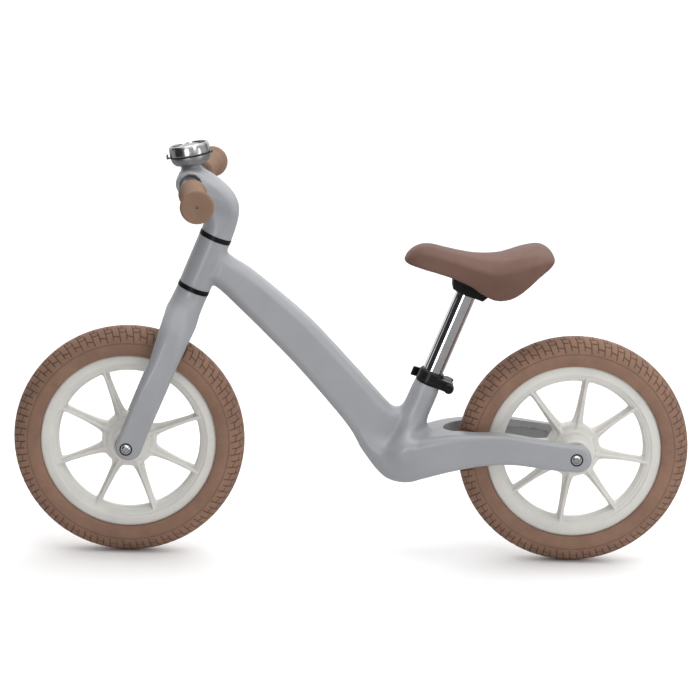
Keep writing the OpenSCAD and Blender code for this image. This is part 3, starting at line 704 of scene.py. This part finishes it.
# ---------- wheels ----------
TYRE_RING, TYRE_R = 122.0, 23.0
RIM_EDGE = 110.4
RIM = [(102, 0), (102, 12), (RIM_EDGE - 0.3, 12), (RIM_EDGE, 13), (RIM_EDGE - 0.2, 15.2),
       (RIM_EDGE - 1.3, 16.2), (99.5, 16.7), (98, 15.9), (97.2, 14.2), (94.6, 13.6), (93.4, 11.6),
       (91.2, 10.8), (90.2, 6.5), (88.6, 4), (88.6, 0)]
SPOKE_WIDTH = np.array([(14, 13.0), (24, 10.5), (33, 7.4), (40, 5.6), (50, 4.7), (64, 4.1), (78, 3.7),
                        (86, 3.9), (92, 5.2), (98, 8.0)])


def wheel_field(x, y, z):
    ay = np.abs(y)
    r = np.sqrt(x * x + z * z)
    turn = 2 * math.pi / SPOKES
    a = np.mod(np.arctan2(z, x) + turn / 2, turn) - turn / 2
    along, across = r * np.cos(a), np.abs(r * np.sin(a))
    rim = outline(flipped(RIM), r, y)
    width = np.interp(along, SPOKE_WIDTH[:, 0], SPOKE_WIDTH[:, 1])
    reach = along - 95.5
    thick = ramp(along, 30, 60, 7.5, 5.0) + ramp(along, 84, 94, 0.0, 4.0)
    spoke = both(np.maximum(across - width, reach), ay - thick, 1.6)
    rib_h = ramp(along, 34, 96, 11.5, 13.2)
    rib = both(np.maximum(across - 1.7, reach - 1.0), ay - rib_h, 1.0)
    hub = both(r - 34.0, ay - 9.5, 2.0)
    hub = soft_min(hub, both(r - 27.0, ay - 15.5, 2.0), 2.5)
    hub = soft_min(hub, both(r - 19.0, ay - 38.0, 1.2), 4.0)
    f = soft_min(spoke, rib, 1.2)
    f = soft_min(f, hub, 3.0)
    f = soft_min(f, rim, 1.6)
    f = np.maximum(f, -np.maximum(r - 13.05, 30.0 - ay))
    return np.maximum(f, 8.0 - r)


def make_wheels(nylon, foam):
    core = solid("front_spoked_wheel", wheel_field, (-112, -40, -112), (112, 40, 112), 1.45, FRONT_AXLE)
    spun = {"front": (20.0, FRONT_AXLE, "front_wheel"), "rear": (37.0, REAR_AXLE, "rear_wheel")}
    base = np.empty(len(core.data.vertices) * 3)
    core.data.vertices.foreach_get("co", base)
    base = base.reshape(-1, 3) / MM - FRONT_AXLE[:, 3]
    tyre_verts, tyre_faces, shade = tyre_mesh()
    for side, (angle, matrix, body) in spun.items():
        t = math.radians(angle)
        turn = np.array([[math.cos(t), 0, -math.sin(t)], [0, 1, 0], [math.sin(t), 0, math.cos(t)]])
        placed = (base @ turn.T + matrix[:, 3]) * MM
        o = core if side == "front" else bpy.data.objects.new("rear_spoked_wheel", core.data.copy())
        if side == "rear":
            bpy.context.scene.collection.objects.link(o)
        o.data.vertices.foreach_set("co", placed.ravel())
        o.data.update()
        piece(o, body, nylon, "wheel_nylon", side + "_wheel_core")
        t = new_object(side + "_treaded_tyre", tyre_verts @ turn.T, tyre_faces, matrix)
        # the groove attribute carries the painted shade for the grooves
        t.data.attributes.new("groove", "FLOAT", "POINT").data.foreach_set("value", shade)
        piece(t, body, foam, "tyre_foam", side + "_tyre")


TREAD_PAIRS = 50
TREAD_SEGMENTS = 1500
TREAD_EDGE = 78.0
GROOVE_W, GROOVE_DEPTH = 0.62, 1.1
LINK_W, LINK_WANDER = 0.6, 2.0
SIDE_LINE, SIDE_LINE_DEPTH, SIDE_LINE_SHADE = 79.5, 0.42, 0.6
BEAD_R, BEAD_Y = 102.2, 12.2


def groove(distance, width):
    """Depth from 0 to 1 across a groove, with slightly sloping sides."""
    return np.clip(1.35 - np.abs(distance) / width, 0, 1)


def tyre_mesh():
    """A round section with cross grooves in pairs, joined by short grooves, and side lines, with a mask of
    painted shade in the grooves.
    """
    edge = math.degrees(math.acos((RIM_EDGE - TYRE_RING) / TYRE_R))
    tread = np.linspace(-TREAD_EDGE, TREAD_EDGE, 143)
    wall = np.linspace(TREAD_EDGE, edge, 22)[1:]
    phi = np.radians(np.concatenate([-wall[::-1], tread, wall]))
    theta = np.arange(TREAD_SEGMENTS) * 2 * math.pi / TREAD_SEGMENTS
    t, p = np.meshgrid(theta, phi, indexing="ij")
    side = np.sign(p)
    deg = np.abs(np.degrees(p))
    # place along the tread in pitches; the sides are half a pitch apart and the grooves lean
    lean = np.where(deg < 40, 0.10, 0.06) * (deg - 40) / 20
    pitch = t / (2 * math.pi) * TREAD_PAIRS + 0.25 * side + lean
    part = np.mod(pitch, 1.0)
    span = 2 * math.pi * (TYRE_RING + TYRE_R - 2) / TREAD_PAIRS
    wander = LINK_WANDER * np.cos(pitch * 2 * math.pi)

    def across(at, start, stop, width=GROOVE_W):
        """A groove across the tread between two angles off the middle."""
        off = (np.mod(part - at + 0.5, 1.0) - 0.5) * span
        return groove(off, width) * ((deg > start) & (deg < stop))

    def along(angle, where):
        """A short groove along the tread."""
        return groove(np.radians(deg - angle) * TYRE_R, LINK_W) * where

    cut = np.maximum.reduce([
        across(0.20, 14, 74), across(0.70, 26, 68), across(0.95, -1, 22, LINK_W),
        along(55.0 + LINK_WANDER * np.sin(pitch * 2 * math.pi), (part > 0.20) & (part < 0.70)),
        along(38.0 + wander, (part < 0.20) | (part > 0.70)),
        along(21.0 + wander, (part < 0.24) | (part > 0.66))])
    line = along(SIDE_LINE, True)
    r = TYRE_R - GROOVE_DEPTH * cut - SIDE_LINE_DEPTH * line
    ring = TYRE_RING + r * np.cos(p)
    outer = np.stack([ring * np.cos(t), r * np.sin(p), ring * np.sin(t)], axis=2)
    foot = []
    for rr, yy in ((RIM_EDGE, BEAD_Y), (BEAD_R, BEAD_Y), (BEAD_R, -BEAD_Y), (RIM_EDGE, -BEAD_Y)):
        foot.append(np.stack([rr * np.cos(theta), np.full_like(theta, yy), rr * np.sin(theta)], axis=1))
    grid = np.concatenate([outer, np.stack(foot, axis=1)], axis=1)
    n, m = grid.shape[:2]
    i = np.arange(n)[:, None]
    j = np.arange(m)[None, :]
    a = i * m + j
    b = ((i + 1) % n) * m + j
    c = ((i + 1) % n) * m + (j + 1) % m
    d = i * m + (j + 1) % m
    faces = np.stack([a, d, c, b], axis=2).reshape(-1, 4)
    # painted shade mask: darkest in the grooves, lighter in the side lines
    shade = np.zeros((n, m))
    shade[:, :outer.shape[1]] = np.maximum(cut, SIDE_LINE_SHADE * line)
    return grid.reshape(-1, 3), faces, shade.ravel()


# ---------- bars and grips ----------
def bar_path():
    """Centre line of the right half of the bar, as (x, y) from the middle out."""
    tangent = BAR_BEND_R * math.tan(BAR_SWEEP / 2)
    bend = BAR_BEND_Y - tangent
    points = [(0, 0), (0, bend * 0.5), (0, bend)]
    for i in range(1, 7):
        a = BAR_SWEEP * i / 6
        points.append((BAR_BEND_R * (1 - math.cos(a)), bend + BAR_BEND_R * math.sin(a)))
    length = (GRIP_END_Y - BAR_BEND_Y) / math.cos(BAR_SWEEP) - 3.6
    start = tangent
    for i in range(1, 9):
        s = start + (length - start) * i / 8
        points.append((s * math.sin(BAR_SWEEP), BAR_BEND_Y + s * math.cos(BAR_SWEEP)))
    return points


def make_bar(steel):
    half = bar_path()
    path = [(x, -y) for x, y in reversed(half[1:])] + half
    verts, faces = [], []
    segments = 64
    for i, (x, y) in enumerate(path):
        x0, y0 = path[max(i - 1, 0)]
        x1, y1 = path[min(i + 1, len(path) - 1)]
        a = math.atan2(x1 - x0, y1 - y0)
        for k in range(segments):
            t = 2 * math.pi * k / segments
            across, up = BAR_R * math.cos(t), BAR_R * math.sin(t)
            verts.append((x + across * math.cos(a), y - across * math.sin(a), up))
    for i in range(len(path) - 1):
        for k in range(segments):
            j = (k + 1) % segments
            faces.append((i * segments + k, (i + 1) * segments + k, (i + 1) * segments + j,
                          i * segments + j))
    faces.append(tuple(range(segments)))
    faces.append(tuple(reversed(range((len(path) - 1) * segments, len(path) * segments))))
    o = new_object("swept_bar", verts, faces, tilted(BAR_X, BAR_Z, 0))
    crisp(o, 40)
    piece(o, "steering", steel, "bar_steel", "handlebar")


def grip_profile():
    end = (GRIP_END_Y - BAR_BEND_Y) / math.cos(BAR_SWEEP)
    start = end - GRIP_L
    flange = 20.0
    vent = 1.5
    face = [(0.0, end - 9.0), (vent, end - 9.0), (vent, end - 0.25), (vent + 0.3, end)]
    for i in range(1, 14):
        r = vent + 0.3 + (flange - 3.7 - vent) * i / 14
        face += [(r, end), (r + 0.25, end - 0.12), (r + 0.5, end)]
    rim = arc(flange - 3.2, end - 3.2, 3.2, 88, -20, 8)
    neck = smooth([(flange - 0.6, end - 5.2), (18.2, end - 8.6), (16.0, end - 13), (14.9, end - 22)], 6)
    body = [(14.8, end - 26)]
    ribs = 22
    first, last = end - 30, start + 16
    for i in range(ribs + 1):
        s = first + (last - first) * i / ribs
        body += [(14.8, s + 0.7), (14.45, s + 0.2), (14.45, s - 0.2), (14.8, s - 0.7)]
    ring = smooth([(14.9, start + 13), (15.6, start + 10), (17.0, start + 7.5), (17.4, start + 4.6),
                   (16.7, start + 1.8), (14.8, start + 0.2)], 6)
    return face + rim + neck + body + ring + [(BAR_R + 0.1, start)]


def make_grips(rubber):
    profile = grip_profile()
    for side, sign in (("left", -1), ("right", 1)):
        a = BAR_SWEEP
        axis = np.array([math.sin(a), sign * math.cos(a), 0.0])
        across = np.array([math.cos(a), -sign * math.sin(a), 0.0])
        up = np.cross(axis, across)
        origin = np.array([BAR_X, sign * BAR_BEND_Y, BAR_Z])
        matrix = np.column_stack([across, up, axis, origin])
        o = lathe(side + "_safety_grip", profile[::-1], matrix, 128)
        piece(o, "steering", rubber, "grip_rubber", side + "_grip")


# ---------- bell ----------
PLATE_Z = BELL_BASE_H + GAP
DOME_Z = PLATE_Z + BELL_PLATE_H + GAP
BELL_TOP = DOME_Z + BELL_DOME_H
WELL_Z = BELL_TOP - 3.4


def make_bell(satin, chrome, black):
    bowl = [(2.6, 2), (2.6, 0), (12, 0)] + smooth(
        [(BELL_R - 9, 0.2), (BELL_R - 4.9, 1.6), (BELL_R - 1.9, 4.8), (BELL_R - 0.6, 8.4),
         (BELL_R - 0.2, BELL_BASE_H)])
    bowl += smooth([(BELL_R - 1.4, BELL_BASE_H), (BELL_R - 2.3, 7.4), (BELL_R - 4.5, 4.2),
                    (BELL_R - 9, 2.3), (10, 2)])
    piece(lathe("bell_bowl", bowl, BELL, 128, closed=True), "steering", satin, "bell_satin", "bell_base")
    shell = smooth([(BELL_R - 0.5, DOME_Z), (BELL_R, DOME_Z + 1.2), (BELL_R + 0.05, DOME_Z + 5.5),
                    (BELL_R - 0.25, BELL_TOP - 3.4), (BELL_R - 0.9, BELL_TOP - 1.4)])
    shell += arc(BELL_R - 2.2, BELL_TOP - 1.3, 1.3, 10, 170, 12)
    shell += [(BELL_R - 3.4, WELL_Z + 0.6), (BELL_R - 3.6, WELL_Z), (2.6, WELL_Z), (2.6, WELL_Z - 1.1),
              (BELL_R - 2.9, WELL_Z - 1.1), (BELL_R - 1.5, DOME_Z + 4), (BELL_R - 1.4, DOME_Z)]
    piece(lathe("bell_shell", shell, BELL, 160, closed=True), "steering", chrome, "bell_chrome",
          "bell_dome")
    rim = BELL_R - 3.7
    ring = [(13.3, WELL_Z), (13.3, WELL_Z + 0.9), (14.0, WELL_Z + 1.2), (rim - 0.8, WELL_Z + 1.0),
            (rim, WELL_Z + 0.5), (rim, WELL_Z)]
    piece(lathe("bell_well_ring", ring, BELL, 128, closed=True), "steering", black, "black_metal",
          "bell_ring")
    disc = [(0, WELL_Z), (13, WELL_Z), (13, WELL_Z + 1.2)] + smooth(
        [(12.5, WELL_Z + 1.9), (11.4, WELL_Z + 2.3), (8, WELL_Z + 2.7), (4, WELL_Z + 2.9), (0, WELL_Z + 3)])
    piece(lathe("bell_top_disc", disc, BELL, 128), "steering", satin, "bell_satin", "bell_cap")


# ---------- seat clamp ----------
def collar_field(u, y, w):
    r = np.sqrt(u * u + y * y)
    f = both(r - 16.3, np.maximum(-w, w - COLLAR_H), 0.9)
    f = soft_min(f, both(r - 15.2, np.maximum(10.0 - w, w - COLLAR_H - 1.4), 0.6), 0.8)
    step = both(r - 16.7, np.abs(w - 3.4) - 1.7, 0.6)
    f = soft_min(f, step, 0.6)
    eu, ew = u - EAR_U, w - EAR_W
    pill = np.sqrt(np.maximum(np.abs(u - 17.5) - 7.5, 0) ** 2 + ew * ew) - 6.5
    f = soft_min(f, both(pill, np.abs(y) - 14.0, 1.2), 2.0)
    f = np.maximum(f, 13.0 - r)
    f = np.maximum(f, -np.maximum(r - 14.45, w - 14.0))
    f = np.maximum(f, -np.maximum(np.abs(y) - 1.5, -u))
    return np.maximum(f, 2.6 - np.sqrt(eu * eu + ew * ew))


HANDLE = smooth(
    [(EAR_U + 6.4, 22), (EAR_U, 27.5), (10, 27.5), (-8, 25.5), (-18, 21.6), (-23, 17.5)]) + smooth(
    [(-20.8, 14.8), (-16, 17.5), (-7, 21), (8, 22.8), (EAR_U - 6, 23)])


def lever_field(u, y, w):
    heel_r = np.sqrt((u - EAR_U) ** 2 + (y - LEVER_Y) ** 2)
    heel = both(heel_r - 6.4, np.abs(w - EAR_W) - 6.0, 1.0)
    arm = both(outline(HANDLE, u, y), np.abs(w - 4.5) - ramp(u, -22, 10, 6.0, 5.2), 1.4)
    f = soft_min(heel, arm, 2.0)
    turn = np.degrees(np.arctan2(y - LEVER_Y, u - EAR_U))
    slot = np.where((turn > -106) & (turn < 72), heel_r * 0 - 3.0, heel_r - 4.5)
    f = np.maximum(f, -np.maximum(slot, np.abs(w - EAR_W) - 3.3))
    return np.maximum(f, 2.25 - heel_r)


def nut_field(u, y, w):
    r = np.sqrt((u - EAR_U) ** 2 + (w - EAR_W) ** 2)
    a = np.arctan2(w - EAR_W, u - EAR_U)
    knurl = 5.9 + 0.35 * np.cos(a * 14)
    f = both(r - knurl, np.maximum(y + 14.6, -22.4 - y), 1.0)
    f = soft_min(f, both(r - 6.7, np.abs(y + 14.7) - 0.7, 0.4), 0.5)
    f = np.maximum(f, -np.maximum(r - 3.4, y + 21.2))
    return np.maximum(f, -np.maximum(r - 2.55, -21.2 - y))


def make_clamp(black, coat):
    o = solid("clamp_band", collar_field, (-19, -17, -2), (34, 17, 19), 0.7, SEAT)
    piece(o, "frame", coat, "black_metal", "seat_clamp_collar")
    o = solid("clamp_handle_arm", lever_field, (-26, 11, -4), (34, 30, 15), 0.7, SEAT)
    piece(o, "clamp_handle", black, "black_plastic", "clamp_lever")
    low, high = (EAR_U - 8, -24, EAR_W - 8), (EAR_U + 8, -12.5, EAR_W + 8)
    o = solid("clamp_knob", nut_field, low, high, 0.4, SEAT)
    piece(o, "frame", black, "black_plastic", "clamp_nut")


# ---------- post and saddle ----------
def make_post(chrome):
    top, low = POST_TOP, POST_TOP - POST_L
    profile = [(10.7, low), (POST_R - 0.5, low), (POST_R, low + 0.5)]
    profile += [(POST_R, low + POST_L * i / 12) for i in range(1, 12)]
    profile += [(POST_R, top - 0.5), (POST_R - 0.5, top), (10.7, top)]
    o = lathe("polished_post", profile, SEAT, 128, closed=True)
    piece(o, "seat", chrome, "post_chrome", "seat_post")


SADDLE_TOP = smooth(
    [(57.5, 382.5), (60, 388), (63.5, 392.3), (70.3, 397.2), (78.9, 401), (87.8, 402.1), (96.7, 401.2),
     (110.7, 398), (129.8, 394.2), (145.1, 391.8), (161.5, 390.9), (178, 391.9), (190.5, 394.8),
     (203.1, 398.8), (215.6, 402), (225.7, 403.4), (234, 402.4), (241.5, 398.7), (246.4, 393.4),
     (247, 390.4)])
SADDLE_LOW = smooth(
    [(244.5, 388.6), (237, 383.6), (224, 373.5), (212.5, 362), (201, 351.5), (190.5, 344.8), (178, 341.3),
     (167, 342.2), (155, 347.5), (142, 355.5), (122, 363.5), (104, 368.8), (90, 372.3), (76, 376),
     (65, 379), (59, 381)])
SADDLE_PLAN = smooth(
    [(57.6, 0), (59.5, 11), (66, 19), (80, 24.5), (104, 28), (130, 33), (156, 43), (182, 54.5),
     (206, 60.5), (226, 58.5), (240.5, 48), (246.5, 27), (247.5, 0)])
SADDLE_HALF = np.array([(x, max(y, 8)) for x, y in SADDLE_PLAN[:-8]]).T
SADDLE_MID = np.array([(60, 385), (90, 384), (130, 375), (170, 366), (200, 374), (230, 390), (246, 394)]).T
SADDLE_POCKET = [(20, 300), (20, 389.2), (95, 384.2), (160, 372.2), (215, 380.2), (232, 388.2), (260, 300)]

SADDLE_CENTRE, SADDLE_INNER = 156, 0.86


def saddle_field(x, y, z):
    ay = np.abs(y)
    half = np.interp(x, *SADDLE_HALF)
    lift = 6.0 * np.clip(ay / np.maximum(half, 12), 0, 1.1) ** 2 * ramp(x, 60, 190, 0.5, 1.2)
    upper = ramp(z - np.interp(x, *SADDLE_MID), -16, 18, 0.0, 1.0)
    side = outline(SADDLE_TOP + SADDLE_LOW, x, z + lift * upper)
    plan = outline(flipped(SADDLE_PLAN), x, y)
    flare = ramp(z, 342, 372, 3.0, 0.0)
    f = both(side, plan + flare, 2.5 + upper * ramp(x, 80, 190, 10.5, 17.0))
    inner_x = SADDLE_CENTRE + (x - SADDLE_CENTRE) / SADDLE_INNER
    walls = outline(flipped(SADDLE_PLAN), inner_x, y / SADDLE_INNER) * SADDLE_INNER
    hollow = np.maximum(outline(SADDLE_POCKET, x, z), walls)
    return soft_max(f, -hollow, 0.8)


def make_saddle(skin):
    o = solid("saddle_cushion", saddle_field, (52, -66, 336), (252, 66, 410), 1.5)
    piece(o, "seat", skin, "saddle_foam", "saddle_pad")


BRACKET = [(120.5, 388), (120.5, 349.5), (127, 345), (158, 334), (164, 339), (190, 352), (194, 388)]
BASE_UNDER = [(90, 300), (90, 380.6), (95, 379.8), (160, 367.8), (215, 375.8), (215, 300)]


def bracket_field(x, y, z):
    u, w = local(SEAT, x, z)
    r = np.sqrt(u * u + y * y)
    block = both(outline(BRACKET, x, z), np.abs(y) - 19.0, 3.0)
    f = soft_min(block, both(r - 17.3, np.maximum(124.0 - w, w - 150.0), 1.2), 2.0)
    ribs = np.abs(np.abs(y) - 9.0) - 0.7
    f = soft_max(f, -np.maximum(ribs, -(outline(BRACKET, x, z) + 1.2)), 0.5)
    f = np.maximum(f, outline(BASE_UNDER, x, z))
    return np.maximum(f, -np.maximum(r - 12.75, w - 140.0))


def make_bracket(black):
    o = solid("saddle_socket", bracket_field, (114, -22, 330), (198, 22, 386), 1.0)
    piece(o, "seat", black, "black_plastic", "saddle_bracket")


# ---------- stage ----------
def area_light(name, place, target, size, power, size_y=None):
    """A rectangular softbox at a place in metres, aimed at another."""
    data = bpy.data.lights.new(name, "AREA")
    data.shape = "RECTANGLE"
    data.size = size
    data.size_y = size_y or size
    data.energy = power
    o = bpy.data.objects.new(name, data)
    o.location = place
    aim = Vector(target) - Vector(place)
    o.rotation_euler = aim.to_track_quat("-Z", "Y").to_euler()
    bpy.context.scene.collection.objects.link(o)
    return o


FLOOR_HALF = 40.0
FLOOR_Z, MAT_Z = -0.0004, -0.0002
FLAG_FOOT, FLAG_TOP = 0.14, 0.85
STRIP_DISTANCE, STRIP_MID, STRIP_H = 1.6, 0.36, 0.9
# name, heading in degrees from the camera's side, width in metres, power in watts
STRIPS = (("left_strip", -20, 0.40, 5.0), ("right_strip", 56, 0.42, 2.8))


def make_stage():
    """A pale floor under a large softbox, and strips that only shiny things see."""
    n = Nodes("pale_floor")
    colour = n.colours(n.noise(3, 3, 0.5), (0.90, 0.90, 0.90), (0.93, 0.93, 0.93))
    n.finish(colour, n.spread(n.noise(40, 2, 0.5), 0.8, 0.95), None)
    h = FLOOR_HALF
    sheet("studio_floor", [(-h, -h, FLOOR_Z), (h, -h, FLOOR_Z), (h, h, FLOOR_Z), (-h, h, FLOOR_Z)], n.mat)
    make_world()
    mat = sheet("floor_mat", [(-h, -h, MAT_Z), (h, -h, MAT_Z), (h, h, MAT_Z), (-h, h, MAT_Z)],
                cloth("floor_mat_cloth", 0.20))
    mat.visible_camera = mat.visible_shadow = mat.visible_diffuse = False
    near, far = (-0.62, -1.0), (-0.74, -0.02)
    flag = sheet("left_flag", [(*near, FLAG_FOOT), (*far, FLAG_FOOT), (*far, FLAG_TOP), (*near, FLAG_TOP)],
                 cloth("left_flag_cloth", 0.02))
    flag.visible_camera = False
    area_light("top_softbox", (0.1, -0.4, 2.2), (0, 0, 0.2), 1.6, 16)
    area_light("key_softbox", (1.3, -2.2, 1.5), (0, 0, 0.25), 0.7, 9, size_y=1.5)
    for name, heading, width, power in STRIPS:
        t = math.radians(heading)
        place = (STRIP_DISTANCE * math.sin(t), -STRIP_DISTANCE * math.cos(t), STRIP_MID)
        strip = area_light(name, place, (0, 0, STRIP_MID), width, power, size_y=STRIP_H)
        strip.visible_diffuse = False


def cloth(name, shade):
    """A dull cloth of one shade of grey."""
    n = Nodes(name)
    grey = (shade, shade, shade)
    return n.finish(n.colours(n.noise(40, 2, 0.5), grey, tint(grey, 1.1)),
                    n.spread(n.noise(60, 2, 0.5), 0.9, 1.0), None, Specular_IOR_Level=0.0)


def sheet(name, corners, material):
    """A flat piece of the studio, in metres."""
    mesh = bpy.data.meshes.new(name)
    mesh.from_pydata(corners, [], [(0, 1, 2, 3)])
    o = bpy.data.objects.new(name, mesh)
    bpy.context.scene.collection.objects.link(o)
    paint(o, material)
    return o


# studio round the bike: heading in degrees from the camera's side, and how bright it mirrors there
SURROUND = [(-180, 0.9), (-128, 0.9), (-118, 0.06), (-36, 0.05), (-30, 0.5), (0, 0.35), (30, 0.30),
            (40, 0.12), (70, 0.18), (80, 0.45), (105, 0.45), (112, 0.10), (130, 0.15), (140, 0.8),
            (180, 0.9)]
CEILING, CEILING_FROM = 1.25, (0.35, 0.75)
FILL_LOW, FILL_HIGH, FILL_LEFT, FILL_RIGHT = 0.45, 1.45, 0.55, 1.20
FILL_NEAR, FILL_BEHIND = 0.95, 2.4
BACKDROP = 0.95


def make_world():
    """Soft sky brighter above and on the right; mirrors see softboxes and dark flags instead."""
    world = bpy.data.worlds.new("studio")
    world.use_nodes = True
    bpy.context.scene.world = world
    tree = world.node_tree

    def node(kind, **inputs):
        n = tree.nodes.new(kind)
        for key, source in inputs.items():
            tree.links.new(source, n.inputs[int(key[1:])])
        return n

    def scaled(source, low, high, start, stop):
        n = node("ShaderNodeMapRange", i0=source)
        n.inputs["From Min"].default_value, n.inputs["From Max"].default_value = low, high
        n.inputs["To Min"].default_value, n.inputs["To Max"].default_value = start, stop
        return n.outputs["Result"]

    def maths(kind, a, b=None, value=None):
        n = node("ShaderNodeMath", i0=a)
        n.operation = kind
        if b is not None:
            tree.links.new(b, n.inputs[1])
        else:
            n.inputs[1].default_value = value
        return n.outputs[0]

    def chosen(factor, a, b=None, value=None):
        n = node("ShaderNodeMix", i0=factor, i2=a)
        if b is not None:
            tree.links.new(b, n.inputs[3])
        else:
            n.inputs[3].default_value = value
        return n.outputs[0]

    split = node("ShaderNodeSeparateXYZ", i0=node("ShaderNodeTexCoord").outputs["Generated"]).outputs
    toward = maths("MULTIPLY", split["Y"], value=-1.0)
    heading = maths("ARCTAN2", split["X"], toward)
    band = node("ShaderNodeFloatCurve", i1=scaled(heading, -math.pi, math.pi, 0, 1))
    curve = band.mapping.curves[0]
    for angle, value in SURROUND[1:-1]:
        curve.points.new((angle + 180) / 360, value)
    curve.points[0].location = (0, SURROUND[0][1])
    curve.points[len(curve.points) - 1].location = (1, SURROUND[-1][1])
    for point in curve.points:
        point.handle_type = "VECTOR"
    band.mapping.update()
    mirror = chosen(scaled(split["Z"], *CEILING_FROM, 0, 1), band.outputs[0], value=CEILING)
    fill = maths("MULTIPLY", scaled(split["Z"], 0, 1, FILL_LOW, FILL_HIGH),
                  scaled(split["X"], -1, 1, FILL_LEFT, FILL_RIGHT))
    back = maths("MULTIPLY", fill, scaled(split["Y"], 0.0, 0.8, FILL_NEAR, FILL_BEHIND))
    path = node("ShaderNodeLightPath").outputs
    seen = chosen(path["Is Camera Ray"], chosen(path["Is Glossy Ray"], back, mirror), value=BACKDROP)
    sky = tree.nodes["Background"]
    sky.inputs["Color"].default_value = (1, 1, 1, 1)
    tree.links.new(seen, sky.inputs["Strength"])
    bpy.context.scene.view_settings.view_transform = "Standard"


CAMERA_PLACE = Vector((-0.037905, -3.070829, 0.944267))
CAMERA_YAW, CAMERA_PITCH, CAMERA_ROLL = math.radians(0.618), math.radians(12.468), math.radians(1.528)
CAMERA_LENS = 129.3


def make_camera():
    """The photograph's viewing angle: square to the bike's side and a little above it."""
    yaw, pitch, roll = CAMERA_YAW, CAMERA_PITCH, CAMERA_ROLL
    forward = Vector((math.sin(yaw) * math.cos(pitch), math.cos(yaw) * math.cos(pitch), -math.sin(pitch)))
    right = Vector((math.cos(yaw), -math.sin(yaw), 0))
    up = right.cross(forward)
    across = right * math.cos(roll) + up * math.sin(roll)
    rise = -right * math.sin(roll) + up * math.cos(roll)
    data = bpy.data.cameras.new("camera")
    data.sensor_width = 36
    data.lens = CAMERA_LENS
    data.clip_end = 100
    o = bpy.data.objects.new("camera", data)
    turn = Matrix((across, rise, -forward)).transposed()
    o.matrix_world = Matrix.Translation(CAMERA_PLACE) @ turn.to_4x4()
    bpy.context.scene.collection.objects.link(o)
    bpy.context.scene.camera = o


def paint_small_parts(black, coat, steel, bolt):
    for name in ("rear_axle", "front_axle", "steerer_tube", "draw_bolt",
                 "bar_lock_screw", "bell_post", "bell_striker", "front_hub_bearings",
                 "rear_hub_bearings", "upper_headset_bearing", "lower_headset_bearing",
                 "saddle_bolts"):
        paint_node(name, steel)
    for name in ("front_axle_bolts", "rear_axle_bolts"):
        paint_node(name, bolt)
    for name in ("front_bolt_rings", "rear_bolt_rings", "front_hub_spacers", "rear_hub_spacers",
                 "saddle_base"):
        paint_node(name, black)
    for name in ("bell_lever", "clamp_skewer", "clamp_pin"):
        paint_node(name, coat)


def main():
    make_camera()
    make_stage()
    coat_paint = powder_coat()
    black, coat = black_plastic(), black_coat()
    steel = metal("turned_steel", (0.55, 0.55, 0.56), 0.25, 0.4)
    bolt = metal("bright_bolt_steel", (0.75, 0.75, 0.77), 0.15, 0.28)
    bar = metal("grey_bar_steel", (0.30, 0.30, 0.31), 0.28, 0.42, (1, 0.05, 1))
    satin = metal("brushed_bell_aluminium", (0.50, 0.50, 0.51), 0.28, 0.42, (1, 1, 6), 200)
    chrome = metal("polished_bell_steel", (0.72, 0.71, 0.71), 0.20, 0.28, (1, 1, 3), 60, 0.02)
    post = metal("post_chrome_plate", (0.84, 0.84, 0.86), 0.04, 0.08, (1, 1, 1), 40, 0.02)
    make_frame(coat_paint)
    make_fork(coat_paint)
    make_stem(coat_paint)
    make_rings(black)
    make_wheels(moulded_nylon(), foam_tyre())
    make_bar(bar)
    make_grips(grip_rubber())
    make_bell(satin, chrome, coat)
    make_clamp(black, coat)
    make_post(post)
    make_saddle(saddle_skin())
    make_bracket(black)
    paint_small_parts(black, coat, steel, bolt)


main()
